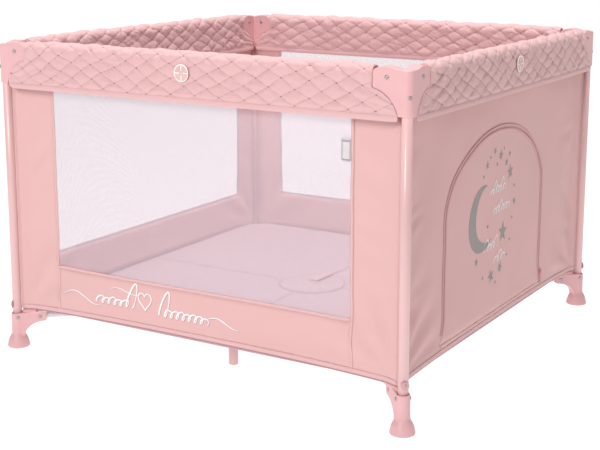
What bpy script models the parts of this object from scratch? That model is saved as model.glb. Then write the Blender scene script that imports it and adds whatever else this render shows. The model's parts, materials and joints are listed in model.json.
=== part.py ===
"""A square folding playpen: four legs, hinged top rails, a folding cross under the floor,
fabric walls with an arched door, and padded rail covers. Metres, +Z up, origin on the
ground in the middle. Left and right are -X and +X, front is -Y, and the door is on +X."""
import math

import bmesh
import bpy
from mathutils import Matrix, Vector

# ---- driving dimensions ----
HALF = 0.538              # leg axis to centre line
GAP = 0.0003              # clearance between pieces that touch

LEG_R = 0.0115
LEG_WALL = 0.0012
LEG_FOOT_Z = 0.0103
LEG_TOP_Z = 0.7417
LEG_SIDES = 16

BAR_R = 0.0095            # rails, arms and supports share one tube size
BAR_WALL = 0.0012
BAR_SIDES = 12
PIN_R = 0.003
PIN_HOLE_R = 0.0033
PIN_SIDES = 8
SLOT_HALF = 0.0101        # inside half width of every clevis
SLOT_END = 0.0105         # pivot to a slot's closed end
CHEEK_HALF = 0.0148       # outside half width of every clevis
RIVET_R = 0.0052
RIVET_PROUD = 0.0012

RAIL_Z = 0.745            # height of the rails' pivots
EAR_PIVOT = 0.040         # leg axis to rail pivot
LATCH_PIVOT = 0.030       # middle of a side to rail pivot
RAIL_SPAN = HALF - EAR_PIVOT - LATCH_PIVOT

BRACKET_R = 0.015
BRACKET_LOW = 0.665
BRACKET_TOP = 0.759
EAR_END = 0.072
EAR_LOBE_TOP = 0.7645
EAR_CURVE_X = 0.085       # centre and radius of the ear's hollow lower edge
EAR_CURVE_Z = 0.650
EAR_CURVE_R = 0.072

ARM_Z = 0.077             # height of the arms' pivots
FIN_PIVOT = 0.055         # leg axis to arm pivot, along the diagonal
FIN_TIP = 0.070
FIN_LOW = 0.028
FIN_TOP = 0.0885
FIN_HALF = 0.0148
ARM_SPAN = RAIL_SPAN * math.sqrt(2)
HUB_PIVOT = HALF * math.sqrt(2) - FIN_PIVOT - ARM_SPAN
HUB_R = 0.075
HUB_LOW = 0.062
HUB_TOP = 0.0893
CASING_R = 0.014
CASING_TOP = 0.087
FOOT_R = 0.0275
BELL_SIDES = 20

SUPPORT_PIVOT = 0.054
SUPPORT_FOOT = 0.371      # centre to support foot
SUPPORT_FOOT_R = 0.0115

LATCH_HALF = 0.045
LATCH_LOW = 0.7295
LATCH_WEB_TOP = 0.7345
LATCH_TOP = 0.7575
BUTTON_R = 0.006
BUTTON_LOW = 0.7255
COLLAR_R = 0.0088         # the button's collar, inside the housing

PANEL_OUT = 0.0125        # leg axis to a wall's outer face
PANEL_T = 0.002
PANEL_TOP = 0.727
PANEL_SHOULDER = 0.6645   # the wall is narrower above this, to clear the ears
PANEL_NECK = 0.458
PANEL_LOW_END = 0.100
PANEL_LOW_MID = 0.109
DOOR_Y = -0.030           # middle of the arched door
DOOR_HALF = 0.29
DOOR_LOW_HALF = 0.31
DOOR_LOW = 0.128
DOOR_FLARE = 0.045        # height over which the door widens to its foot
DOOR_SPRING = 0.400       # where the straight sides end and the arch begins
DOOR_RISE = 0.172
DOOR_CLEAR = 0.0015
ZIP_Z = 0.154
ZIP_Y = DOOR_Y + 0.300

COVER_HALF = 0.0205
COVER_WALL = 0.0047
COVER_LOW = 0.655
COVER_TOP = 0.7695
COVER_START = 0.080       # leg axis to the cover's end

FLOOR_LOW = 0.0985
FLOOR_TOP = 0.1125
FLOOR_EDGE = 0.5225
FLOOR_CORNER = 0.075      # leg axis to the trimmed corner
FLOOR_SEAM = 0.0004
PATCH_R = 0.084
STRAP_HALF = 0.0125

CORNERS = {"fl": 45, "fr": 135, "br": 225, "bl": 315}
SIDES = {
    "front": (0, "l", "r"),
    "right": (90, "f", "b"),
    "back": (180, "r", "l"),
    "left": (270, "b", "f"),
}

LOOKS = {
    "pink_paint": ((0.86, 0.62, 0.62), 0.4, 0.3),
    "pink_plastic": ((0.84, 0.56, 0.57), 0.5, 0.0),
    "steel": ((0.60, 0.60, 0.62), 0.35, 0.9),
    "white_paint": ((0.80, 0.80, 0.81), 0.4, 0.3),
    "grey_plastic": ((0.45, 0.44, 0.46), 0.6, 0.0),
    "canvas": ((0.90, 0.64, 0.63), 0.9, 0.0),
    "padding": ((0.88, 0.60, 0.60), 0.9, 0.0),
    "webbing": ((0.70, 0.42, 0.45), 0.85, 0.0),
}


def clear_scene():
    for obj in list(bpy.data.objects):
        bpy.data.objects.remove(obj, do_unlink=True)


def make_look(name):
    color, roughness, metallic = LOOKS[name]
    look = bpy.data.materials.new(name)
    look.use_nodes = True
    shader = look.node_tree.nodes["Principled BSDF"]
    shader.inputs["Base Color"].default_value = (*color, 1.0)
    shader.inputs["Roughness"].default_value = roughness
    shader.inputs["Metallic"].default_value = metallic
    return look


# ---- shapes ----
def shape(bm):
    """A loose mesh from a bmesh, with its faces turned outward."""
    bmesh.ops.recalc_face_normals(bm, faces=bm.faces)
    mesh = bpy.data.meshes.new("shape")
    bm.to_mesh(mesh)
    bm.free()
    return mesh


def extruded(outline, low, high, frame):
    """A flat outline pushed from low to high along the frame's Z."""
    bm = bmesh.new()
    bottom = [bm.verts.new(frame @ Vector((x, y, low))) for x, y in outline]
    top = [bm.verts.new(frame @ Vector((x, y, high))) for x, y in outline]
    bm.faces.new(bottom)
    bm.faces.new(top)
    for i in range(len(outline)):
        j = (i + 1) % len(outline)
        bm.faces.new((bottom[i], bottom[j], top[j], top[i]))
    return shape(bm)


def turned(profile, sides):
    """A solid of revolution about Z from (radius, height) points, bottom to top."""
    bm = bmesh.new()
    rings = []
    for radius, height in profile:
        turn = [math.tau * k / sides for k in range(sides)]
        rings.append([bm.verts.new((radius * math.cos(a), radius * math.sin(a), height)) for a in turn])
    bm.faces.new(rings[0])
    bm.faces.new(rings[-1])
    for lower, upper in zip(rings, rings[1:]):
        for k in range(sides):
            j = (k + 1) % sides
            bm.faces.new((lower[k], lower[j], upper[j], upper[k]))
    return shape(bm)


def box(low, high):
    outline = [(low[0], low[1]), (high[0], low[1]), (high[0], high[1]), (low[0], high[1])]
    return extruded(outline, low[2], high[2], Matrix())


def rod(radius, start, end, sides):
    """A cylinder between two points."""
    start, end = Vector(start), Vector(end)
    along = end - start
    frame = Matrix.Translation(start) @ along.to_track_quat("Z", "Y").to_matrix().to_4x4()
    turn = [math.tau * (k + 0.5) / sides for k in range(sides)]
    outline = [(radius * math.cos(a), radius * math.sin(a)) for a in turn]
    return extruded(outline, 0.0, along.length, frame)


def built(base, cuts=(), joins=()):
    """One mesh from a base shape, with shapes joined to it and then others cut out of it."""
    body = bpy.data.objects.new("body", base)
    bpy.context.scene.collection.objects.link(body)
    tools = []
    for operation, meshes in (("UNION", joins), ("DIFFERENCE", cuts)):
        for mesh in meshes:
            tool = bpy.data.objects.new("tool", mesh)
            bpy.context.scene.collection.objects.link(tool)
            step = body.modifiers.new("step", "BOOLEAN")
            step.operation = operation
            step.solver = "EXACT"
            step.object = tool
            tools.append(tool)
    ready = body.evaluated_get(bpy.context.evaluated_depsgraph_get())
    result = bpy.data.meshes.new_from_object(ready)
    for spare in [body, *tools]:
        bpy.data.objects.remove(spare, do_unlink=True)
    return result


def moved(mesh, frame):
    copy = mesh.copy()
    copy.transform(frame)
    return copy


# ---- placing ----
def spin(degrees):
    return Matrix.Rotation(math.radians(degrees), 4, "Z")


def corner_frame(corner):
    """X runs inward along the diagonal, and the leg's axis is Z."""
    angle = CORNERS[corner]
    inward = spin(angle) @ Vector((1, 0, 0))
    at = Vector((math.copysign(HALF, -inward.x), math.copysign(HALF, -inward.y), 0))
    return Matrix.Translation(at) @ spin(angle)


def side_frame(side):
    """X runs along the side, Y points inward, and the origin is on the leg line."""
    return spin(SIDES[side][0]) @ Matrix.Translation((0, -HALF, 0))


def pivot(name, at):
    empty = bpy.data.objects.new("axis_" + name, None)
    empty.location = at
    bpy.context.scene.collection.objects.link(empty)
    return empty


def piece(name, mesh, frame, look, axis=None):
    obj = bpy.data.objects.new(name, mesh)
    obj.data.name = name
    obj.data.materials.clear()
    obj.data.materials.append(look)
    obj.data.shade_smooth()
    obj.data.set_sharp_from_angle(angle=math.radians(35))
    bpy.context.scene.collection.objects.link(obj)
    obj.matrix_world = frame
    if axis:
        obj.parent = axis
        obj.matrix_parent_inverse = Matrix.Translation(axis.location).inverted()
    return obj


# ---- the shapes of the pieces ----
def hollow_bar(span):
    """A tube along X between two pivots, with round ends and a cross hole at each."""
    bm = bmesh.new()
    loops = []
    for radius, end in ((BAR_R, 1), (BAR_R, -1), (BAR_R - BAR_WALL, -1), (BAR_R - BAR_WALL, 1)):
        loop = []
        for k in range(BAR_SIDES):
            angle = math.tau * (k + 0.5) / BAR_SIDES
            y, z = radius * math.cos(angle), radius * math.sin(angle)
            loop.append(bm.verts.new((end * (span / 2 + math.sqrt(BAR_R**2 - z * z)), y, z)))
        loops.append(loop)
    for i in range(4):
        a, b = loops[i], loops[(i + 1) % 4]
        for k in range(BAR_SIDES):
            j = (k + 1) % BAR_SIDES
            bm.faces.new((a[k], a[j], b[j], b[k]))
    holes = [rod(PIN_HOLE_R, (x, -0.02, 0), (x, 0.02, 0), PIN_SIDES) for x in (-span / 2, span / 2)]
    return built(shape(bm), cuts=holes)


def leg_tube():
    outer = rod(LEG_R, (0, 0, LEG_FOOT_Z), (0, 0, LEG_TOP_Z), LEG_SIDES)
    return built(outer, cuts=[rod(LEG_R - LEG_WALL, (0, 0, 0), (0, 0, 1), LEG_SIDES)])


def ear_outline():
    """The ear from the side: X from the leg's axis, Y is height."""
    reach = math.acos((EAR_CURVE_X - EAR_END) / EAR_CURVE_R)
    root = math.asin((BRACKET_LOW - EAR_CURVE_Z) / EAR_CURVE_R)
    steps = 8
    points = [(0.0, BRACKET_LOW)]
    for k in range(steps + 1):
        angle = root + (reach - root) * k / steps
        across, up = EAR_CURVE_R * math.cos(angle), EAR_CURVE_R * math.sin(angle)
        points.append((EAR_CURVE_X - across, EAR_CURVE_Z + up))
    points += [(EAR_END, 0.7520), (0.0695, 0.7575), (0.060, 0.7625), (0.045, EAR_LOBE_TOP)]
    points += [(0.030, 0.7638), (0.020, 0.7608), (0.013, BRACKET_TOP), (0.0, BRACKET_TOP)]
    return points


def rivet_pin(at, along, half):
    """A pin across a clevis with a head on both faces."""
    at, along = Vector(at), Vector(along)
    heads = [(at + along * s * (half - 0.001), at + along * s * (half + RIVET_PROUD)) for s in (-1, 1)]
    shapes = [rod(PIN_R, at - along * (half - 0.0005), at + along * (half - 0.0005), PIN_SIDES)]
    return shapes + [rod(RIVET_R, a, b, PIN_SIDES) for a, b in heads]


def top_bracket():
    """A corner cap: socket for the leg, and a clevis towards each neighbouring leg."""
    column = turned([(BRACKET_R - 0.0012, BRACKET_LOW), (BRACKET_R, BRACKET_LOW + 0.002),
                     (BRACKET_R, BRACKET_TOP - 0.003), (0.012, BRACKET_TOP + 0.0008)], BELL_SIDES)
    upright = Matrix.Rotation(math.radians(90), 4, "X")
    ears, cuts, pins = [], [], []
    for angle in (-45, 45):
        turn = spin(angle)
        ears.append(moved(extruded(ear_outline(), -CHEEK_HALF, CHEEK_HALF, upright), turn))
        slot = box((EAR_PIVOT - SLOT_END, -SLOT_HALF, 0.6), (0.1, SLOT_HALF, RAIL_Z + SLOT_END))
        cuts.append(moved(slot, turn))
        pins += [moved(m, turn) for m in rivet_pin((EAR_PIVOT, 0, RAIL_Z), (0, 1, 0), CHEEK_HALF)]
    cuts.append(rod(LEG_R + GAP, (0, 0, 0.6), (0, 0, LEG_TOP_Z + GAP), LEG_SIDES))
    clevis = built(column, cuts=cuts, joins=ears)
    return built(clevis, joins=pins)


def fin_outline():
    """The fin from the side: X from the leg's axis, Y is height."""
    wide, tall, steps = 0.052, 0.036, 8
    points = [(0.0, FIN_LOW)]
    for k in range(steps + 1):
        angle = math.radians(90) * k / steps
        points.append((CASING_R + wide * (1 - math.cos(angle)), FIN_LOW + tall * math.sin(angle)))
    points += [(FIN_TIP, 0.0680), (FIN_TIP + 0.001, 0.0775), (FIN_TIP - 0.002, 0.0850)]
    points += [(FIN_TIP - 0.008, FIN_TOP), (0.0, FIN_TOP)]
    return points


def foot_casing():
    """A flared foot with a socket for the leg, and a forked fin that holds a floor arm."""
    bell = turned([(0.0262, 0.0), (FOOT_R, 0.002), (0.0268, 0.007), (0.0250, 0.014), (0.0222, 0.0215),
                   (0.0180, 0.0265), (0.0150, 0.0295), (CASING_R, 0.0330), (CASING_R, CASING_TOP - 0.001),
                   (CASING_R - 0.001, CASING_TOP)], BELL_SIDES)
    upright = Matrix.Rotation(math.radians(90), 4, "X")
    fin = extruded(fin_outline(), -FIN_HALF, FIN_HALF, upright)
    slot = box((FIN_PIVOT - SLOT_END, -SLOT_HALF, ARM_Z - SLOT_END), (0.1, SLOT_HALF, 0.2))
    socket = rod(LEG_R + GAP, (0, 0, LEG_FOOT_Z - GAP), (0, 0, 0.2), LEG_SIDES)
    fork = built(bell, cuts=[slot, socket], joins=[fin])
    return built(fork, joins=rivet_pin((FIN_PIVOT, 0, ARM_Z), (0, 1, 0), FIN_HALF))


def snap_cap():
    """A round snap cap that looks along +Z, with its rivet in the middle."""
    return turned([(0.0085, 0.0), (0.0093, 0.0010), (0.0088, 0.0022), (0.0050, 0.0030), (0.0045, 0.0042),
                   (0.0020, 0.0052)], 12)


def latch_housing():
    """A channel, open on top, that carries both rails of a side on two pins."""
    half, inner = CHEEK_HALF, SLOT_HALF
    section = [(-half, LATCH_LOW + 0.002), (-half + 0.002, LATCH_LOW), (half - 0.002, LATCH_LOW),
               (half, LATCH_LOW + 0.002), (half, LATCH_TOP - 0.002), (half - 0.0015, LATCH_TOP),
               (inner, LATCH_TOP), (inner, LATCH_WEB_TOP), (-inner, LATCH_WEB_TOP), (-inner, LATCH_TOP),
               (-half + 0.0015, LATCH_TOP), (-half, LATCH_TOP - 0.002)]
    along = Matrix(((0, 0, 1, 0), (1, 0, 0, 0), (0, 1, 0, 0), (0, 0, 0, 1)))
    channel = extruded(section, -LATCH_HALF, LATCH_HALF, along)
    pins = [rod(PIN_R, (x, -half + 0.0005, RAIL_Z), (x, half - 0.0005, RAIL_Z), PIN_SIDES)
            for x in (-LATCH_PIVOT, LATCH_PIVOT)]
    hole = rod(BUTTON_R + GAP, (0, 0, 0.7), (0, 0, RAIL_Z), LEG_SIDES)
    return built(channel, cuts=[hole], joins=pins)


def latch_button():
    """A push button through the housing's web, with a collar that keeps it in."""
    collar = LATCH_WEB_TOP + 0.0004
    stem = BUTTON_R - 0.001
    return turned([(stem, BUTTON_LOW), (BUTTON_R, BUTTON_LOW + 0.001), (BUTTON_R, collar),
                   (COLLAR_R, collar), (COLLAR_R, collar + 0.003), (stem, collar + 0.003),
                   (stem, collar + 0.006)], LEG_SIDES)


def hub():
    """The centre block: six slots, open below and outside, each with a pin for a tube."""
    disc = turned([(HUB_R - 0.004, HUB_LOW), (HUB_R, HUB_LOW + 0.003), (HUB_R, HUB_TOP - 0.003),
                   (HUB_R - 0.004, HUB_TOP)], 28)
    slots = [(angle, HUB_PIVOT) for angle in CORNERS.values()]
    slots += [(angle, SUPPORT_PIVOT) for angle in (90, 270)]
    cuts, pins = [], []
    for angle, reach in slots:
        turn = spin(angle)
        slot = box((reach - SLOT_END, -SLOT_HALF, 0.0), (0.1, SLOT_HALF, ARM_Z + 0.0102))
        cuts.append(moved(slot, turn))
        pins.append(moved(rod(PIN_R, (reach, -0.014, ARM_Z), (reach, 0.014, ARM_Z), PIN_SIDES), turn))
    return built(built(disc, cuts=cuts), joins=pins)


def support():
    """A tube along X from its pivot at the origin, with an upright foot at the far end."""
    reach = SUPPORT_FOOT - SUPPORT_PIVOT
    bar = moved(hollow_bar(reach), Matrix.Translation((reach / 2, 0, 0)))
    top = ARM_Z + BAR_R
    foot = turned([(SUPPORT_FOOT_R - 0.002, 0.0), (SUPPORT_FOOT_R, 0.002), (SUPPORT_FOOT_R, top),
                   (SUPPORT_FOOT_R - 0.003, top + 0.0025)], LEG_SIDES)
    return built(bar, joins=[moved(foot, Matrix.Translation((reach, 0, -ARM_Z)))])


def hem_height(along):
    """Height of a wall's lower edge: it bows up between the legs."""
    share = min(abs(along) / (HALF - 0.03), 1.0)
    return PANEL_LOW_MID + (PANEL_LOW_END - PANEL_LOW_MID) * share**3


def wall(half_width):
    """A fabric wall: X along the side, Y inward from the leg line."""
    steps = 10
    along = [half_width * (2 * k / steps - 1) for k in range(steps + 1)]
    outline = [(x, hem_height(x)) for x in along]
    outline += [(half_width, PANEL_SHOULDER), (PANEL_NECK, PANEL_SHOULDER + 0.005)]
    outline += [(PANEL_NECK, PANEL_TOP)]
    outline += [(-x, z) for x, z in reversed(outline[-3:])]
    upright = Matrix.Rotation(math.radians(90), 4, "X")
    return extruded(outline, -PANEL_OUT - PANEL_T, -PANEL_OUT, upright)


def door_outline(inset):
    """The arched door from outside: X along the side, Y is height."""
    low, half, rise = DOOR_LOW + inset, DOOR_HALF - inset, DOOR_RISE - inset
    foot, steps = DOOR_LOW_HALF - inset, 16
    points = [(-foot, low), (foot, low), (half, low + DOOR_FLARE)]
    for k in range(steps + 1):
        angle = math.pi * k / steps
        points.append((half * math.cos(angle), DOOR_SPRING + rise * math.sin(angle)))
    points.append((-half, low + DOOR_FLARE))
    return [(x + DOOR_Y, z) for x, z in points]


def door_solid(inset, low, high):
    return extruded(door_outline(inset), low, high, Matrix.Rotation(math.radians(90), 4, "X"))


def zip_slider():
    """The slider and its hanging pull: X along the side, Y inward, at the door's rear edge."""
    face = PANEL_OUT - GAP
    body = box((ZIP_Y - 0.004, face - 0.005, ZIP_Z - 0.006), (ZIP_Y + 0.004, face, ZIP_Z + 0.007))
    pull = box((ZIP_Y - 0.003, face - 0.0042, ZIP_Z - 0.030), (ZIP_Y + 0.003, face - 0.0022, ZIP_Z - 0.004))
    return built(body, joins=[pull])


def rail_cover():
    """Half a side's padded sleeve, open below: X from its inner end towards the leg."""
    outer = [(COVER_HALF - 0.0015, COVER_LOW), (COVER_HALF, COVER_LOW + 0.002), (COVER_HALF, 0.7550),
             (0.0175, 0.7640), (0.0120, 0.7683), (0.0050, COVER_TOP)]
    inner = COVER_HALF - COVER_WALL
    hollow = [(0.0115, 0.7640), (inner, 0.7590), (inner, COVER_LOW)]
    section = outer + [(-y, z) for y, z in reversed(outer)]
    section += [(-y, z) for y, z in reversed(hollow)] + hollow
    along = Matrix(((0, 0, 1, 0), (1, 0, 0, 0), (0, 1, 0, 0), (0, 0, 0, 1)))
    return extruded(section, 0.0008, HALF - COVER_START, along)


def floor_quarter():
    """A quarter of the padded floor in the corner's frame: the leg's axis is the origin."""
    turn = spin(45)
    edge, steps = HALF - FLOOR_EDGE, 6
    trim = FLOOR_CORNER * math.sqrt(2) - edge
    seam = HALF - FLOOR_SEAM
    points = [(edge, trim), (trim, edge), (seam, edge)]
    hole = PATCH_R + 0.0012
    for k in range(steps + 1):
        angle = math.radians(90) * (k / steps)
        x, y = HALF - hole * math.sin(angle), HALF - hole * math.cos(angle)
        points.append((min(x, seam), min(y, seam)))
    points.append((edge, seam))
    flat = [(turn.inverted() @ Vector((x, y, 0))).to_2d() for x, y in points]
    return extruded([tuple(p) for p in flat], FLOOR_LOW, FLOOR_TOP, Matrix())


def floor_patch():
    disc = turned([(PATCH_R, FLOOR_LOW), (PATCH_R, FLOOR_TOP)], 24)
    return built(disc, cuts=[box((-STRAP_HALF - 0.002, -0.003, 0), (STRAP_HALF + 0.002, 0.003, 0.2))])


def pull_strap():
    """A webbing loop: it rises from the hub through the floor and lies folded on top."""
    lift, thick = FLOOR_TOP + 0.0006, 0.0018
    half = thick / 2
    outline = [(-half, HUB_TOP + GAP), (half, HUB_TOP + GAP), (half, lift), (0.088, lift),
               (0.091, lift + 0.003), (0.088, lift + 0.006), (0.0, lift + 0.006), (-half, lift + 0.004)]
    bore = [(0.004, lift + thick), (0.086, lift + thick), (0.0885, lift + 0.003),
            (0.086, lift + 0.006 - thick), (0.004, lift + 0.006 - thick)]
    along = Matrix(((0, 0, 1, 0), (1, 0, 0, 0), (0, 1, 0, 0), (0, 0, 0, 1)))
    band = extruded(outline, -STRAP_HALF, STRAP_HALF, along)
    return built(band, cuts=[extruded(bore, -STRAP_HALF - 0.01, STRAP_HALF + 0.01, along)])


# ---- assembly ----
def add_corners(looks):
    tube, bracket, casing, cap = leg_tube(), top_bracket(), foot_casing(), snap_cap()
    outward = Matrix.Translation((-LEG_R - GAP, 0, 0.108)) @ Matrix.Rotation(math.radians(-90), 4, "Y")
    for corner in CORNERS:
        frame = corner_frame(corner)
        axis = pivot("leg_" + corner, frame.translation)
        piece("leg_tube_" + corner, tube.copy(), frame, looks["pink_paint"], axis)
        piece("top_bracket_" + corner, bracket.copy(), frame, looks["pink_plastic"], axis)
        piece("foot_casing_" + corner, casing.copy(), frame, looks["pink_plastic"], axis)
        piece("snap_cap_" + corner, cap.copy(), frame @ outward, looks["steel"], axis)


def add_rails(looks):
    bar, housing, button, cover = hollow_bar(RAIL_SPAN), latch_housing(), latch_button(), rail_cover()
    for side, (_, first, second) in SIDES.items():
        frame = side_frame(side)
        middle = pivot("latch_" + side, frame @ Vector((0, 0, RAIL_Z)))
        piece("latch_housing_" + side, housing.copy(), frame, looks["grey_plastic"], middle)
        piece("latch_button_" + side, button.copy(), frame, looks["grey_plastic"], middle)
        for end, half in ((-1, first), (1, second)):
            hinge = frame @ Vector((end * (LATCH_PIVOT + RAIL_SPAN), 0, RAIL_Z))
            axis = pivot(f"rail_{side}_{half}", hinge)
            at = Matrix.Translation((end * (LATCH_PIVOT + RAIL_SPAN / 2), 0, RAIL_Z))
            flip = spin(0 if end > 0 else 180)
            piece(f"rail_tube_{side}_{half}", bar.copy(), frame @ at, looks["steel"], axis)
            piece(f"rail_cover_{side}_{half}", cover.copy(), frame @ flip, looks["padding"], axis)


def add_base(looks):
    bar, quarter, prop = hollow_bar(ARM_SPAN), floor_quarter(), support()
    centre = pivot("hub", (0, 0, ARM_Z))
    piece("hub", hub(), Matrix(), looks["grey_plastic"], centre)
    piece("floor_centre", floor_patch(), Matrix(), looks["canvas"], centre)
    piece("pull_strap", pull_strap(), Matrix(), looks["webbing"], centre)
    for corner in CORNERS:
        frame = corner_frame(corner)
        axis = pivot("arm_" + corner, frame @ Vector((FIN_PIVOT, 0, ARM_Z)))
        at = Matrix.Translation((FIN_PIVOT + ARM_SPAN / 2, 0, ARM_Z))
        piece("arm_" + corner, bar.copy(), frame @ at, looks["white_paint"], axis)
        piece("floor_" + corner, quarter.copy(), frame, looks["canvas"], axis)
    for name, angle in (("front", 270), ("back", 90)):
        frame = spin(angle) @ Matrix.Translation((SUPPORT_PIVOT, 0, ARM_Z))
        axis = pivot("support_" + name, frame.translation)
        piece("support_" + name, prop.copy(), frame, looks["pink_paint"], axis)


def add_walls(looks):
    between = HALF - PANEL_OUT - PANEL_T - GAP
    outside = HALF - PANEL_OUT
    hole = door_solid(0.0, -0.05, 0.05)
    widths = {"front": between, "back": between, "left": outside, "right": outside}
    for side, half_width in widths.items():
        mesh = wall(half_width)
        if side == "right":
            mesh = built(mesh, cuts=[hole])
        piece("side_panel_" + side, mesh, side_frame(side), looks["canvas"])
    frame = side_frame("right")
    hinge = pivot("door_flap", frame @ Vector((DOOR_Y, PANEL_OUT + PANEL_T / 2, DOOR_LOW + DOOR_CLEAR)))
    flap = door_solid(DOOR_CLEAR, -PANEL_OUT - PANEL_T, -PANEL_OUT)
    piece("door_flap", flap, frame, looks["canvas"], hinge)
    piece("zip_slider", zip_slider(), frame, looks["grey_plastic"])


def main():
    clear_scene()
    looks = {name: make_look(name) for name in LOOKS}
    add_corners(looks)
    add_rails(looks)
    add_base(looks)
    add_walls(looks)


main()
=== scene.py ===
"""The looks of a square folding playpen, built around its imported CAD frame."""

import json
import math

import bmesh
import bpy
import numpy as np
from mathutils import Matrix, Vector


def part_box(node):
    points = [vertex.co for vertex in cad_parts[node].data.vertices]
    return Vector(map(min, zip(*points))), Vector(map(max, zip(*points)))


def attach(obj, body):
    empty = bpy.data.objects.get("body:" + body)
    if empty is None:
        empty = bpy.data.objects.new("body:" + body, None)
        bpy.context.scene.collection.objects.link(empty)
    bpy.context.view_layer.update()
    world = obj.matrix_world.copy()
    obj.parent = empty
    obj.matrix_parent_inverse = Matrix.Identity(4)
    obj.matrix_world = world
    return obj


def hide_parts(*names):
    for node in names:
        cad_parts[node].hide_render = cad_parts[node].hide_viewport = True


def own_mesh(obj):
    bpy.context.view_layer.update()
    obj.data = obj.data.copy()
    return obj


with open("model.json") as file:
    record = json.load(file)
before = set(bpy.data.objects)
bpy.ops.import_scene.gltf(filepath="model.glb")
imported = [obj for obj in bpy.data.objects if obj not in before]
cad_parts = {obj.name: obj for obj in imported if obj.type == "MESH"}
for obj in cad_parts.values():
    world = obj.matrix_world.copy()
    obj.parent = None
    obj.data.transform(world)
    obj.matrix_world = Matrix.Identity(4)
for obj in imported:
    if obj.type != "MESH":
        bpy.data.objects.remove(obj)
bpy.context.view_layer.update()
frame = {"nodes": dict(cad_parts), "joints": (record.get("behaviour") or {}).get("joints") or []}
JOINTS = {joint["name"]: joint for joint in frame["joints"]}

# ---- measures read from the frame ----
leg_low, leg_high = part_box("leg_tube_fr")
HALF = (leg_low[0] + leg_high[0]) / 2
LEG_R = (leg_high[0] - leg_low[0]) / 2 / math.cos(math.pi / 16)
RAIL_Z = JOINTS["fold"]["pos_m"][2]
EAR_PIVOT = JOINTS["fold"]["pos_m"][0] + HALF
LATCH_PIVOT = -JOINTS["front_latch"]["pos_m"][0]
RAIL_SPAN = HALF - EAR_PIVOT - LATCH_PIVOT
SLEEVE = 0.0121                           # leg's axis to the edge of a wall's sleeve
ARM_Z = JOINTS["arm_fl_hinge"]["pos_m"][2]
FIN_PIVOT = math.sqrt(2) * (HALF + JOINTS["arm_fl_hinge"]["pos_m"][0])

wall_low, wall_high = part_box("side_panel_front")
WALL_MID = (wall_low[1] + wall_high[1]) / 2 + HALF   # leg line to a wall's middle plane
WALL_TOP = wall_high[2]
WALL_HALF = {"front": wall_high[0], "back": wall_high[0]}
WALL_HALF["left"] = WALL_HALF["right"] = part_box("side_panel_left")[1][1]
cover_low, cover_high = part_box("rail_cover_front_l")
COVER_LOW, COVER_TOP = cover_low[2], cover_high[2]
COVER_HALF = (cover_high[1] - cover_low[1]) / 2
floor_low, floor_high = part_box("floor_fr")
FLOOR_LOW, FLOOR_TOP = floor_low[2], floor_high[2]
FLOOR_EDGE = floor_high[0]
flap_low, flap_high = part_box("door_flap")
DOOR_Y = (flap_low[1] + flap_high[1]) / 2

# ---- sizes of what only shows here ----
HEM_LOW_END, HEM_LOW_MID = 0.100, 0.109
DOOR_HALF, DOOR_LOW_HALF = 0.29, 0.31
DOOR_LOW, DOOR_SPRING, DOOR_RISE = 0.128, 0.400, 0.172
WINDOW = {"front": (0.408, 0.220), "left": (0.428, 0.212), "back": (0.428, 0.212)}
EAR_END = 0.072
EAR_CURVE = (0.085, 0.650, 0.072)          # centre along the side, centre height, radius
BRACKET_LOW, BRACKET_TOP = 0.665, 0.759
DIAMOND = (0.064, 0.034)                   # quilt diamond, along the rail and across it
RIVET_Z = RAIL_Z - 0.002                   # the brackets' rivets
SNAP_Z = 0.108                             # the snap caps low on the legs
SHOULDER, NECK = 0.664, 0.460              # above this height a wall is only this wide each way
GRID_FOOT = 0.105                          # a wall grid's lowest row, before it follows the hem
CANVAS = 0.0008                            # canvas thickness
BINDING = 0.0115                           # width of a cover's binding
AIM = Vector((0, 0, 0.4))                  # what the lamps point at
SENSOR = 36.0                              # camera sensor, mm
UPRIGHT = Matrix.Rotation(math.radians(90), 4, "X")

SIDES = {"front": 0, "right": 90, "back": 180, "left": 270}
HALVES = {"front": ("l", "r"), "right": ("f", "b"), "back": ("r", "l"), "left": ("b", "f")}
CORNERS = {"fl": 45, "fr": 135, "br": 225, "bl": 315}
WALL_BODY = {"front": "leg_fl", "left": "leg_fl", "right": "leg_fr", "back": "leg_bl"}


# ---- material building ----
def srgb(red, green, blue):
    """Display colour from 0 to 255 as linear RGBA."""
    def linear(c):
        c /= 255
        return c / 12.92 if c <= 0.04045 else ((c + 0.055) / 1.055) ** 2.4
    return (linear(red), linear(green), linear(blue), 1.0)


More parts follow.
